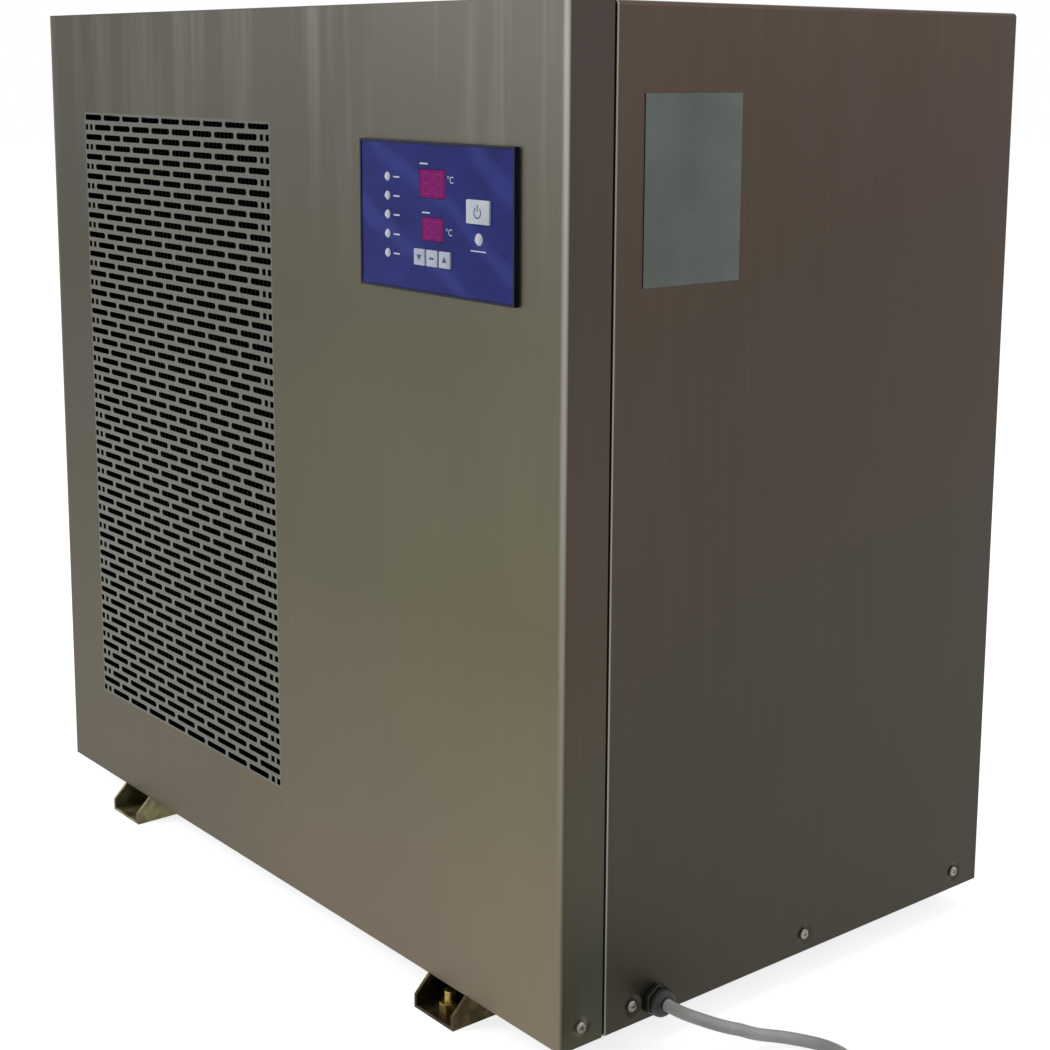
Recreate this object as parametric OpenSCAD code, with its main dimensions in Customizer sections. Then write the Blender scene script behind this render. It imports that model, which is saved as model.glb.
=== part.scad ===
// Aquarium chiller: a stainless cabinet on two foot rails, with a slotted air grille and a control panel on
// the front, a refrigerant circuit and a titanium heat exchanger inside, and fans and unions at the back.
// Millimetres. X runs to the right seen from the front, Y to the back, Z up. The origin is on the floor, at
// the middle of the four floor holes.

/* [Cabinet] */
// Width of the cabinet
body_w = 700; // [680:5:800]
// Depth of the cabinet, front face to back face
body_d = 432; // [420:4:500]
// Height of the cabinet above its rails
body_h = 675; // [650:5:760]
// Thickness of the stainless sheet
sheet_t = 1; // [0.8:0.1:1.3]
// Outer radius of the folded edges
bend_r = 3; // [2.8:0.2:5]
// Depth of the front cover's side and top returns
return_d = 36; // [30:1:44]
// Width of the seam between the front cover and the wrap
seam_w = 2; // [2:0.5:5]
// How far the wrap's top lies below the front cover's top
top_step = 1; // [0.5:0.5:3]
// Width of the flange at the wrap's rear edge
rear_flange_w = 15; // [12:1:18]

/* [Base tray] */
// Thickness of the tray's sheet
tray_t = 1.5; // [1.2:0.1:2]
// Height of the tray's flanges
tray_h = 25; // [23:1:35]
// Diameter of the condensate drain hole
drain_d = 20; // [12:1:30]

/* [Foot rails] */
// Width of a rail
rail_w = 45; // [40:1:60]
// Height of a rail
rail_h = 22; // [20:1:40]
// Thickness of a rail's steel
rail_t = 2.5; // [2:0.25:4]
// How far a rail sticks out in front and behind
rail_reach = 12.5; // [8:0.5:25]
// Height of the upright end of a rail's flange, below its slope
rail_end_h = 10; // [6:1:16]
// Distance between the two rails' middles
rail_spacing = 456; // [400:4:560]
// Diameter of the floor holes
floor_hole_d = 9; // [7:0.5:11]
// Distance between a rail's two floor holes
floor_hole_run = 372; // [330:4:400]
// Distance of the front studs that hold the rails behind the cabinet's front face
stud_front = 96; // [90:1:110]
// Distance of the rear studs in front of the cabinet's back face
stud_rear = 16; // [14:1:20]
// Diameter of the studs
stud_d = 8; // [6:1:8]
// How far the spare stud stands behind the cabinet's front face
spare_stud_back = 2; // [0:0.5:8]

/* [Screws] */
// Diameter of a pan-head screw's shank
screw_d = 4; // [3:0.5:4]
// Diameter of a pan head
head_d = 8; // [7:0.5:8.5]
// Height of a pan head
head_h = 2.4; // [1.8:0.2:3]
// Length of a screw's shank
screw_l = 8; // [6:1:12]
// Depth of the dimples pressed into the covers under the screws
dimple_t = 1.2; // [0.8:0.1:1.4]
// Diameter of a dimple
dimple_d = 16; // [14:1:18]
// Height of the low screws above the cabinet's bottom edge
low_screw_z = 13; // [12:0.5:14]
// Distances of the wrap's low screws behind the front face, as shares of the depth
low_screw_shares = [0.147, 0.539, 0.936];

/* [Grille] */
// How far the slotted field reaches past the cabinet's middle
field_past = 11; // [0:1:14]
// Distance of the slotted field below the cabinet's top edge
field_down = 81; // [70:1:110]
// Distance of the slotted field from the cabinet's left edge
field_left = 64; // [50:1:80]
// Height of the slotted field above the cabinet's bottom edge
field_up = 76; // [60:1:100]
// Length of a slot
slot_w = 29.6; // [20:0.4:29.6]
// Height of a slot
slot_h = 4.8; // [3:0.2:5]
// Distance between slots along a row
slot_pitch_x = 33.4; // [30:0.2:40]
// Distance between rows
slot_pitch_z = 8.33; // [7:0.01:12]
// Bare edge of the grille sheet around the slotted field
grille_edge = 4; // [3:0.5:8]

/* [Control panel] */
// Width of the control panel
panel_w = 169; // [160:1:180]
// Height of the control panel
panel_h = 100; // [96:1:110]
// Distance of the control panel from the cabinet's right edge
panel_right = 47; // [40:1:60]
// Distance of the control panel below the cabinet's top edge
panel_down = 90; // [60:1:110]
// How far the bezel stands in front of the cover
bezel_t = 3.4; // [2.8:0.2:5]
// Width of the bezel's raised rim
rim_w = 1.5; // [1:0.5:4]
// Thickness of the printed overlay
overlay_t = 0.8; // [0.5:0.1:1]
// Diameter of an indicator lamp's lens
lamp_d = 6; // [4:0.5:7]
// Width and height of the upper display window
upper_window = [27.5, 18.5]; // [24:0.5:30]
// Width and height of the lower display window
lower_window = [23, 15.2]; // [20:0.5:26]
// Width and height of a small key
small_key = [12, 11]; // [9:0.5:12.5]
// Width and height of the large key
large_key = [24, 15.5]; // [18:0.5:26]
// How far a key goes in when it is pressed
key_travel = 0.5; // [0.3:0.1:0.8]

/* [Air side] */
// How far the condenser reaches past the slotted field on each side
condenser_past = 9.5; // [6:0.5:11]
// Distance of the condenser's top below the cabinet's top edge
condenser_down = 83.5; // [74:0.5:110]
// Depth of the condenser
condenser_d = 66; // [50:2:80]
// Distance between the condenser's fins
fin_pitch = 6; // [5:0.5:10]
// Height of the lower fan's ring above the cabinet's bottom edge
fan_low = 47; // [40:1:55]
// Distance between the two fans' rings
fan_between = 4; // [2:1:10]
// Distance of the upper fan's ring below the cabinet's top edge
fan_high = 52; // [45:1:60]
// Number of blades on a fan
blade_count = 5; // [4:1:6]
// How far the fan guards stand behind the cabinet
guard_h = 16; // [14:1:24]

/* [Refrigerant circuit] */
// What the radius of the compressor's shell has over a fifth of the room beside the divider
compressor_more = 1.64; // [-8:0.02:2]
// Height of the compressor's shell
compressor_h = 250; // [200:5:270]
// Radius of the accumulator
accumulator_r = 26; // [20:1:28]
// Outer radius of the copper pipes
pipe_r = 5; // [4:0.5:6]

/* [Heat exchanger] */
// What the outer radius of the water barrel has over a quarter of the room beside the divider
barrel_more = 2.05; // [-8:0.05:4]
// Height of the water barrel
barrel_h = 420; // [380:5:440]
// Wall of the water barrel
barrel_t = 5; // [4:0.5:8]
// Turns of the titanium coil
titanium_turns = 7; // [5:1:9]
// Radius of the bore that takes the water pipe
socket_r = 16; // [12.5:0.5:16.5]
// Depth of the bore that takes the water pipe
socket_l = 22; // [18:1:26]

/* [Mains lead] */
// Diameter of the mains lead
cord_d = 8.5; // [8:0.1:8.9]

/* [Hidden] */
$fn = 48;

// Overrun of every cut, and the small clearances
over = 1;
slip = 0.3;
running = 0.05;

// Places of the cabinet's faces
front_y = -body_d / 2;
back_y = body_d / 2;
right_x = body_w / 2;
body_z = rail_h;
body_top = body_z + body_h;

// Tray and frame, which stand one dimple's depth inside the covers
inset = sheet_t + dimple_t;
tray_x = right_x - inset;
tray_y0 = front_y + inset;
tray_y1 = back_y - 2 * sheet_t;
floor_z = body_z + tray_t;
wrap_y0 = front_y + return_d + seam_w;
wrap_y1 = back_y - sheet_t;
frame_t = 1.5;
frame_lap = 14;
frame_flange_w = 12;

// Screws and dimples
dimple_flat_r = head_d / 2 + 1;
hole_slack = 0.2;
recess_w = 1;
recess_l = 4.6;
recess_d = 1.4;
front_screw_y = front_y + return_d / 2;
low_screw_ys = [for (share = low_screw_shares) front_y + share * body_d];
low_z = body_z + low_screw_z;

// Rails, studs and nuts
nut_r = 0.925 * stud_d;
nut_h = 0.8 * stud_d;
stud_over_nut = 6;
spare_stud_y = front_y + spare_stud_back;
spare_stud_h = 15;
stud_slack = 0.5;

// Grille
field_w = right_x - field_left + field_past;
field_h = body_h - field_up - field_down;
grille_w = field_w + 2 * grille_edge;
grille_h = field_h + 2 * grille_edge;
grille_x = -right_x + field_left + field_w / 2;
grille_z = body_z + field_up + field_h / 2;
full_slots = floor((field_w + slot_pitch_x - slot_w) / slot_pitch_x);
row_count = floor((field_h - slot_h) / slot_pitch_z) + 1;
short_slot_w = slot_h;
short_web = 3.2;
shorts_at = [short_slot_w / 2, 1.5 * short_slot_w + short_web];

// Control panel, in its own places across (u) and up (v) from its lower left corner
panel_x0 = right_x - panel_right - panel_w;
panel_z0 = body_top - panel_down - panel_h;
spigot_in = 6;
spigot_t = 2;
spigot_l = 14;
retainer_w = 5;
retainer_t = 2;
lamp_us = 32;
lamp_vs = [75.5, 62.7, 50, 37, 24];
key_lamp = [132.3, 40];
key_lamp_r = lamp_d / 2 + 1;
upper_at = [82.8, 72.8];
lower_at = [83, 43.1];
key_us = [69.5, 83.4, 97.3];
key_v = 24;
large_at = [132.5, 57.5];
board_back = 8;
board_t = 1.6;
board_in = 10;
standoff_r = 3;
standoff_in = 16;
module_edge = 2.5;
key_proud = 1.3;
key_lip = 0.6;
key_lip_t = 1.6;
key_gap = 0.1;
switch_w = 6;
switch_h = 3.5;
plate_edge = 0.6;
board_y = front_y + board_back;

// Rating plate on the right side
plate_size = [85, 121];
plate_back = 62;
plate_down = 57;
plate_at = [plate_back, body_h - plate_down - plate_size[1]];
plate_t = 0.6;

// Air side
condenser_w = field_w + 2 * condenser_past;
condenser_h = body_top - condenser_down - floor_z;
condenser_side = 34;
divider_x = grille_x + condenser_w / 2 + condenser_side;
divider_t = 1.5;
divider_down = 73.5;
divider_h = body_top - divider_down - floor_z;
divider_back = 60;
divider_y0 = front_y + divider_back;
condenser_t = 1.5;
condenser_back = 13;
condenser_y0 = front_y + sheet_t + condenser_back;
fin_t = 1;
fin_web = 4;
bend_tube_r = 4.8;
return_r = 12.5;
bend_count = 11;
ring_gap = 3;
ring_t = 1.5;
ring_flange_w = 25;
ring_l = 44;
ring_out_r = (body_h - fan_low - fan_between - fan_high) / 4;
tip_r = ring_out_r - ring_gap - ring_flange_w;
fan_zs = [body_z + fan_low + ring_out_r, body_top - fan_high - ring_out_r];
guard_bar = 2.5;
guard_pitch = 12;
guard_plate_r = 44;
guard_past = 18;
guard_r = tip_r + guard_past;
guard_foot = [12, 18, 1.5];
guard_screw_past = 6;
guard_screw_r = guard_r + guard_screw_past;
hub_r = 44;
hub_l = 60;
hub_gap = 1.5;
spindle_r = 12;
stator_r = 34;
stator_t = 3;
bore_l = 48;
blade_t = 2;
blade_pitch = 30;
blade_root = 15;
blade_tip = 38;

// Compressor and circuit
side_room = right_x - inset - divider_x - divider_t;
compressor_r = side_room / 5 + compressor_more;
compressor_side = 48;
compressor_back = 20;
compressor_at = [divider_x + divider_t + compressor_r + compressor_side, -compressor_back];
grommet_r = 13;
grommet_h = 16;
foot_reach = 32;
foot_r = compressor_r + foot_reach;
foot_t = 3;
foot_w = 30;
compressor_z = floor_z + grommet_h;
can_k = 26;
pin_r = 4;
pin_head_r = 10;
pin_head_h = 5;
stub_r = 7;
stub_l = 12;
accumulator_h = 150;
accumulator_up = 90;
accumulator_gap = 5;
accumulator_z = compressor_z + accumulator_up;
accumulator_at = [compressor_at[0], compressor_at[1] - compressor_r - accumulator_r - accumulator_gap];
side_stub_l = 4;
pipe_dip = 41;
pipe_side = 24;
pipe_past = 36;
suction_z = accumulator_z - stub_l - pipe_dip;
cover_size = [44, 26, 50];
cover_up = 120;
cover_z = compressor_z + cover_up;
drier_r = 17;
drier_h = 110;
drier_k = 8;
drier_front = 58;
drier_up = 250;
drier_y = compressor_at[1] - drier_front;
drier_z = body_z + drier_up;
valve_r = 16;
valve_l = 112;
valve_side = 56;
valve_back = 62;
valve_up = 372;
valve_at = [divider_x + divider_t + valve_side, compressor_at[1] + valve_back];
valve_z = body_z + valve_up;
valve_step = 30;
solenoid = [34, 40, 34];

// Heat exchanger and water pipes
barrel_r = side_room / 4 + barrel_more;
barrel_side = 24;
barrel_front = 26;
barrel_at = [right_x - inset - barrel_r - barrel_side, back_y - 2 * sheet_t - barrel_r - barrel_front];
barrel_flange_w = 14;
barrel_flange_t = 9;
barrel_z = floor_z;
barrel_top = barrel_z + barrel_h;
cap_t = 12;
cap_bolt_r = 3;
cap_bolt_count = 8;
port_low = 80;
port_high = 60;
port_zs = [barrel_z + port_low, barrel_top - port_high];
port_r = 24;
port_bore_r = 15;
port_out = 10;
port_y = barrel_at[1] + barrel_r + port_out;
tail_r = 20;
collar_r = 25;
collar_t = 6;
thread_l = 9;
locknut_r = 30;
locknut_h = 7;
union_r = 33;
union_wall = 4;
union_back = 3;
union_l = 24;
titanium_r = 6;
titanium_gap = 27;
titanium_coil_r = barrel_r - titanium_gap;
titanium_low = 40;
titanium_high = 60;
coil_low_z = barrel_z + titanium_low;
coil_high_z = barrel_top - titanium_high;
probe_r = 4;
probe_l = 60;
probe_at = [-20, -14];
riser_out = 30;
fitting_at = [titanium_coil_r, riser_out];
drier_at = [barrel_at[0] + fitting_at[0], drier_y];

// Electrical box on the divider
box_size = [200, 92, 180];
box_t = 1.2;
box_back = 36;
box_drop = 50;
box_y0 = front_y + box_back;
box_z0 = panel_z0 - box_drop;
box_x0 = divider_x + divider_t;
contactor_size = [46, 60, 76];
capacitor_r = 22;
capacitor_h = 78;
block_size = [96, 26, 24];

// Gland, lead, coil and plug
gland_back = 84;
gland_up = 12;
gland_at = [front_y + gland_back, body_z + gland_up];
gland_hex_r = 11.4;
gland_hex_t = 4;
gland_dome_r = 10;
gland_l = 12;
gland_thread_r = 8;
gland_thread_l = 13;
gland_nut_t = 4;
cord_r = cord_d / 2;
gland_bore_r = cord_r + 0.4;
gland_seal_r = 7.4;
coil_side = 127;
coil_back = 67;
coil_at = [right_x + coil_side, front_y + coil_back];
coil_turns = 2.45;
coil_out_r = 60;
coil_gap = 0.75;
coil_pitch = cord_d + coil_gap;
coil_dip = coil_pitch / 4;
coil_start = 47.2;
coil_tail = 2.5 * cord_d;
tie_t = 0.8;
tie_w = 8;
coil_low = cord_r + tie_t + 0.2;
coil_high = coil_low + coil_pitch;
coil_rings = 24;
tie_angle = -30;
plug_r = coil_high;
relief_r = cord_r + 1.5;
relief_l = 20;
plug_l = 50;
plug_pin_r = 2.4;
plug_pin_l = 19;
plug_pin_gap = 19;

// The free stretch's route: across and back from the gland's mouth, and its height as a share of the gland's
cord_route = [
    [0, 0, 1], [4, 0, 1], [12, 1, 0.99], [20, 3.5, 0.97], [27, 8, 0.92], [33, 14, 0.84], [37.5, 21, 0.75],
    [40, 29, 0.64], [41, 37, 0.5], [41, 48.5, 0.31], [42, 57, 0.2], [45, 65, 0.12], [49.5, 72.5, 0.05],
    [56, 78, 0.02], [63, 82.5, 0], [71.5, 85, 0], [80, 85.5, 0], [88.5, 84, 0], [96, 81, 0], [103, 76, 0],
    [123, 57, 0.02]
];

// Small helpers
function unit(v) = v / norm(v);
function at_u(u) = panel_x0 + u;
function at_v(v) = panel_z0 + v;

// Carries an outline in X and Z along Y from y0 to y1
module along_y(y0, y1) {
    translate([0, y1, 0]) rotate([90, 0, 0]) linear_extrude(y1 - y0) children();
}

// Carries an outline in Y and Z along X from x0 to x1
module along_x(x0, x1) {
    translate([x0, 0, 0]) rotate([90, 0, 90]) linear_extrude(x1 - x0) children();
}

// A round bar along Y
module bar_y(x, z, r, y0, y1) {
    translate([x, y0, z]) rotate([-90, 0, 0]) cylinder(h = y1 - y0, r = r);
}

// A box between two corners
module block(low, high) {
    translate(low) cube(high - low);
}

// A rectangle in X and Z round a middle
module rect_at(x, z, w, h) {
    translate([x, z]) square([w, h], center = true);
}

// A closed can with rounded ends, standing at z = 0
module rounded_can(r, h, k) {
    rotate_extrude() intersection() {
        union() {
            translate([0, k]) square([r, h - 2 * k]);
            square([r - k, h]);
            for (z = [k, h - k]) translate([r - k, z]) circle(r = k);
        }
        square([r, h]);
    }
}

// Tube along a line of points, with square ends
function tangents(p) = [
    for (i = [0:len(p) - 1])
        i == 0 ? unit(p[1] - p[0])
        : i == len(p) - 1 ? unit(p[i] - p[i - 1])
        : unit(unit(p[i + 1] - p[i]) + unit(p[i] - p[i - 1]))
];
function any_normal(t) = unit(cross(t, abs(t[2]) > 0.9 ? [1, 0, 0] : [0, 0, 1]));
function carried(n, t) = unit(n - (n * t) * t);
function normals(t) = [
    for (i = 0, n = any_normal(t[0]); i < len(t); i = i + 1, n = carried(n, t[min(i, len(t) - 1)])) n
];
function tube_points(p, r, sides) = let (t = tangents(p), n = normals(t)) [
    for (i = [0:len(p) - 1])
        for (k = [0:sides - 1])
            p[i] + r * (cos(360 * k / sides) * n[i] + sin(360 * k / sides) * cross(t[i], n[i]))
];
function tube_faces(count, sides) = concat(
    [
        for (i = [0:count - 2])
            for (k = [0:sides - 1])
                for (half = [0, 1])
                    let (a = i * sides + k, b = i * sides + (k + 1) % sides)
                        half == 0 ? [a, a + sides, b] : [b, a + sides, b + sides]
    ],
    [for (k = [1:sides - 2]) [0, k, k + 1]],
    [for (k = [1:sides - 2]) [(count - 1) * sides, (count - 1) * sides + k + 1, (count - 1) * sides + k]]
);
module tube(p, r, sides) {
    polyhedron(points = tube_points(p, r, sides), faces = tube_faces(len(p), sides), convexity = 6);
}

// Rounds the corners of a pipe's line with curves of the given reach
bend_steps = 4;
function curve_at(a, b, c, t) = (1 - t) * (1 - t) * a + 2 * t * (1 - t) * b + t * t * c;
function rounded_line(p, reach) = [
    p[0],
    for (i = [1:1:len(p) - 2])
        let (a = p[i] + reach * unit(p[i - 1] - p[i]), c = p[i] + reach * unit(p[i + 1] - p[i]))
            for (s = [0:bend_steps]) curve_at(a, p[i], c, s / bend_steps),
    p[len(p) - 1]
];
pipe_bend = 14;
pipe_sides = 8;
module pipe(p) {
    tube(rounded_line(p, pipe_bend), pipe_r, pipe_sides);
}

// Outline of the wrap in X and Z, drawn in from the outside by the given amount and open at the bottom
module wrap_profile(in, bottom) {
    r = max(bend_r - in, over / 10);
    x = right_x - in;
    top = body_top - top_step - in;
    translate([-x, bottom]) square([2 * x, top - r - bottom]);
    translate([-x + r, bottom]) square([2 * x - 2 * r, top - bottom]);
    for (side = [-1, 1]) translate([side * (x - r), top - r]) circle(r = r);
}

// Outline of the front cover in plan, drawn in by the given amount
module cover_plan(in, back) {
    r = max(bend_r - in, over / 10);
    x = right_x - in;
    y = front_y + in;
    translate([-x, y + r]) square([2 * x, back - y - r]);
    translate([-x + r, y]) square([2 * x - 2 * r, back - y]);
    for (side = [-1, 1]) translate([side * (x - r), y + r]) circle(r = r);
}

// Puts a child that points along +Z on the right (side = 1) or left (side = -1) face
module on_side(side, y, z, out = 0) {
    translate([side * (right_x + out), y, z]) rotate([0, side * 90, 0]) children();
}

// A dimple pressed into a cover, its outer rim at z = 0
module dimple() {
    r = dimple_d / 2;
    hole = screw_d / 2 + hole_slack;
    rotate_extrude() polygon([
        [hole, -dimple_t], [dimple_flat_r, -dimple_t], [r, 0], [r, -sheet_t],
        [dimple_flat_r, -dimple_t - sheet_t], [hole, -dimple_t - sheet_t]
    ]);
}

// Places of the screws with dimples: [side, y]
front_screws = [for (side = [-1, 1]) [side, front_screw_y]];
wrap_screws = [for (side = [-1, 1]) for (y = low_screw_ys) [side, y]];

// A pan-head screw pointing down from z = 0, its head above
module pan_screw() {
    k = head_h * 0.6;
    difference() {
        union() {
            rotate_extrude() intersection() {
                union() {
                    square([head_d / 2, head_h - k]);
                    square([head_d / 2 - k, head_h]);
                    translate([head_d / 2 - k, head_h - k]) circle(r = k);
                }
                square([head_d / 2, head_h]);
            }
            translate([0, 0, -screw_l]) cylinder(h = screw_l, r = screw_d / 2);
        }
        for (turn = [0, 90]) rotate(turn) translate([-recess_l / 2, -recess_w / 2, head_h - recess_d])
            cube([recess_l, recess_w, recess_d + over]);
    }
}

// A hexagon nut standing at z = 0 round a bore
module hex_nut(r, h, bore) {
    difference() {
        cylinder(h = h, r = r, $fn = 6);
        translate([0, 0, -over]) cylinder(h = h + 2 * over, r = bore);
    }
}

// Places of the studs that hold the rails: [x, y]
stud_places = [
    for (x = [-1, 1]) for (y = [front_y + stud_front, back_y - stud_rear]) [x * rail_spacing / 2, y]
];
spare_stud_place = [rail_spacing / 2, spare_stud_y];

module base_tray() {
    color("silver") difference() {
        block([-tray_x, tray_y0, body_z], [tray_x, tray_y1, body_z + tray_h]);
        block([-tray_x + tray_t, tray_y0 + tray_t, floor_z],
            [tray_x - tray_t, tray_y1 - tray_t, body_z + tray_h + over]);
        for (p = stud_places)
            translate([p[0], p[1], body_z - over])
                cylinder(h = tray_t + 2 * over, r = stud_d / 2 + stud_slack);
        translate([0, 0, body_z - over]) cylinder(h = tray_t + 2 * over, r = drain_d / 2);
        for (s = concat(front_screws, wrap_screws))
            on_side(s[0], s[1], low_z, -inset - tray_t - over)
                cylinder(h = tray_t + 2 * over, r = screw_d / 2 + hole_slack);
        on_side(1, gland_at[0], gland_at[1], -inset - tray_t - over)
            cylinder(h = tray_t + 2 * over, r = gland_thread_r + slip);
        for (side = [-1, 1]) bar_y(side * rear_screw_x, low_z, screw_d / 2 + hole_slack,
            tray_y1 - tray_t - over, tray_y1 + over);
    }
}

// Side view of a rail's flange, in Y and Z
module rail_side() {
    y = back_y + rail_reach;
    slope = rail_h - rail_end_h;
    polygon([
        [-y, 0], [y, 0], [y, rail_end_h], [y - slope, rail_h], [-y + slope, rail_h], [-y, rail_end_h]
    ]);
}

module foot_rail(side) {
    x = side * rail_spacing / 2;
    color("goldenrod") difference() {
        along_x(x - rail_w / 2, x + rail_w / 2) rail_side();
        block([x - rail_w / 2 + rail_t, front_y - rail_reach - over, rail_t],
            [x + rail_w / 2 - rail_t, back_y + rail_reach + over, rail_h + over]);
        for (y = [-1, 1]) translate([x, y * floor_hole_run / 2, -over])
            cylinder(h = rail_t + 2 * over, r = floor_hole_d / 2);
    }
}

module left_foot_rail() {
    foot_rail(-1);
}

module right_foot_rail() {
    foot_rail(1);
}

// Studs stand on the rails' webs; the spare one ends inside its rail
module rail_studs() {
    stud_top = floor_z + nut_h + stud_over_nut;
    color("gold") {
        for (p = stud_places) translate([p[0], p[1], rail_t])
            cylinder(h = stud_top - rail_t, r = stud_d / 2);
        translate([spare_stud_place[0], spare_stud_place[1], rail_t])
            cylinder(h = spare_stud_h, r = stud_d / 2);
    }
}

module rail_nuts() {
    bore = stud_d / 2 + running;
    color("gold") {
        for (p = stud_places) translate([p[0], p[1], floor_z]) hex_nut(nut_r, nut_h, bore);
        translate([spare_stud_place[0], spare_stud_place[1], rail_t]) hex_nut(nut_r, nut_h, bore);
    }
}

module front_frame() {
    y0 = front_y + return_d - frame_lap;
    y1 = wrap_y0 + frame_lap;
    low = body_z + tray_h;
    color("dimgray") {
        along_y(y0, y1) difference() {
            wrap_profile(inset, low);
            wrap_profile(inset + frame_t, low - over);
        }
        along_y(y0, y0 + frame_t) difference() {
            wrap_profile(inset + frame_t / 2, low);
            wrap_profile(inset + frame_flange_w, low - over);
        }
    }
}

module front_cover() {
    color("gray") difference() {
        union() {
            difference() {
                translate([0, 0, body_z]) linear_extrude(body_h) cover_plan(0, front_y + return_d);
                translate([0, 0, body_z - over])
                    linear_extrude(body_h - sheet_t + over) cover_plan(sheet_t, front_y + return_d + over);
                for (s = front_screws) on_side(s[0], s[1], low_z, -sheet_t - over)
                    cylinder(h = sheet_t + 2 * over, r = dimple_d / 2);
            }
            for (s = front_screws) on_side(s[0], s[1], low_z) dimple();
        }
        along_y(front_y - over, front_y + sheet_t + over) {
            rect_at(grille_x, grille_z, grille_w, grille_h);
            rect_at(panel_x0 + panel_w / 2, panel_z0 + panel_h / 2, cutout_w, cutout_h);
        }
    }
}
cutout_w = panel_w - 2 * spigot_in + 2 * slip;
cutout_h = panel_h - 2 * spigot_in + 2 * slip;

// One slot with round ends
module slot(x, z, w) {
    rect_at(x, z, w - slot_h, slot_h);
    for (end = [-1, 1]) translate([x + end * (w - slot_h) / 2, z]) circle(r = slot_h / 2);
}

// The top row and every second one below it hold whole slots. The rows between them lie half a pitch over
// and end in two short slots on both sides.
module grille_panel() {
    z0 = grille_z - (row_count - 1) * slot_pitch_z / 2;
    color("darkgray") along_y(front_y, front_y + sheet_t) difference() {
        rect_at(grille_x, grille_z, grille_w, grille_h);
        for (row = [0:row_count - 1]) {
            shifted = (row_count - 1 - row) % 2;
            count = full_slots - shifted;
            z = z0 + row * slot_pitch_z;
            for (i = [0:count - 1]) slot(grille_x + (i - (count - 1) / 2) * slot_pitch_x, z, slot_w);
            if (shifted == 1) for (side = [-1, 1]) for (in = shorts_at)
                rect_at(grille_x + side * (field_w / 2 - in), z, short_slot_w, slot_h);
        }
    }
}

module wrap_cover() {
    flange_in = rear_flange_w;
    color("gray") difference() {
        union() {
            difference() {
                along_y(wrap_y0, wrap_y1) difference() {
                    wrap_profile(0, body_z);
                    wrap_profile(sheet_t, body_z - over);
                }
                for (s = wrap_screws) on_side(s[0], s[1], low_z, -sheet_t - over)
                    cylinder(h = sheet_t + 2 * over, r = dimple_d / 2);
            }
            for (s = wrap_screws) on_side(s[0], s[1], low_z) dimple();
            along_y(wrap_y0, wrap_y0 + sheet_t) difference() {
                wrap_profile(sheet_t / 2, body_z);
                wrap_profile(inset, body_z - over);
            }
            along_y(wrap_y1 - sheet_t, wrap_y1) difference() {
                wrap_profile(sheet_t / 2, body_z);
                wrap_profile(flange_in, body_z - over);
            }
        }
        on_side(1, gland_at[0], gland_at[1], -sheet_t - over)
            cylinder(h = sheet_t + 2 * over, r = gland_thread_r + slip);
        for (p = rear_screw_places)
            bar_y(p[0], p[1], screw_d / 2 + hole_slack, wrap_y1 - sheet_t - over, wrap_y1 + over);
    }
}

// Screws of the rear panel, in the wrap's rear flange: [x, z]
rear_screw_x = right_x - rear_flange_w / 2;
rear_screw_top = body_top - top_step - rear_flange_w / 2;
rear_screw_rows = 4;
rear_screw_places = concat(
    [
        for (side = [-1, 1]) for (i = [0:rear_screw_rows - 1])
            [side * rear_screw_x, low_z + i * (rear_screw_top - low_z) / (rear_screw_rows - 1)]
    ],
    [for (share = [-1, 1]) [share * right_x / 3, rear_screw_top]]
);
guard_screw_places = [
    for (z = fan_zs) for (turn = [45:90:315])
        [grille_x + guard_screw_r * cos(turn), z + guard_screw_r * sin(turn)]
];
panel_hole_r = tip_r + ring_gap;

module rear_panel() {
    color("darkgray") along_y(back_y - sheet_t, back_y) difference() {
        wrap_profile(slip, body_z);
        for (z = fan_zs) translate([grille_x, z]) circle(r = panel_hole_r);
        for (z = port_zs) translate([barrel_at[0], z]) circle(r = tail_r + slip);
        for (p = concat(rear_screw_places, guard_screw_places))
            translate(p) circle(r = screw_d / 2 + hole_slack);
    }
}

module cover_screws() {
    color("silver") for (s = concat(front_screws, wrap_screws))
        on_side(s[0], s[1], low_z, -dimple_t) pan_screw();
}

module rear_screws() {
    color("silver") {
        for (p = rear_screw_places) translate([p[0], back_y, p[1]]) rotate([-90, 0, 0]) pan_screw();
        for (p = guard_screw_places)
            translate([p[0], back_y + guard_foot[2], p[1]]) rotate([-90, 0, 0]) pan_screw();
    }
}

module rating_plate() {
    color("lightgray") along_x(right_x, right_x + plate_t)
        translate([front_y + plate_at[0], body_z + plate_at[1]]) square(plate_size);
}

// Outline of the control panel's openings: windows, lamps and keys, each wider by the given clearance
module panel_openings(gap) {
    rect_at(at_u(upper_at[0]), at_v(upper_at[1]), upper_window[0] + 2 * gap, upper_window[1] + 2 * gap);
    rect_at(at_u(lower_at[0]), at_v(lower_at[1]), lower_window[0] + 2 * gap, lower_window[1] + 2 * gap);
    for (v = lamp_vs) translate([at_u(lamp_us), at_v(v)]) circle(r = lamp_d / 2 + gap);
    translate([at_u(key_lamp[0]), at_v(key_lamp[1])]) circle(r = key_lamp_r + gap);
    for (u = key_us) rect_at(at_u(u), at_v(key_v), small_key[0] + 2 * gap, small_key[1] + 2 * gap);
    rect_at(at_u(large_at[0]), at_v(large_at[1]), large_key[0] + 2 * gap, large_key[1] + 2 * gap);
}

// Outline of the panel, drawn in from its edge
module panel_outline(in) {
    rect_at(panel_x0 + panel_w / 2, panel_z0 + panel_h / 2, panel_w - 2 * in, panel_h - 2 * in);
}

recess_y = front_y - bezel_t + overlay_t + plate_edge;

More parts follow.
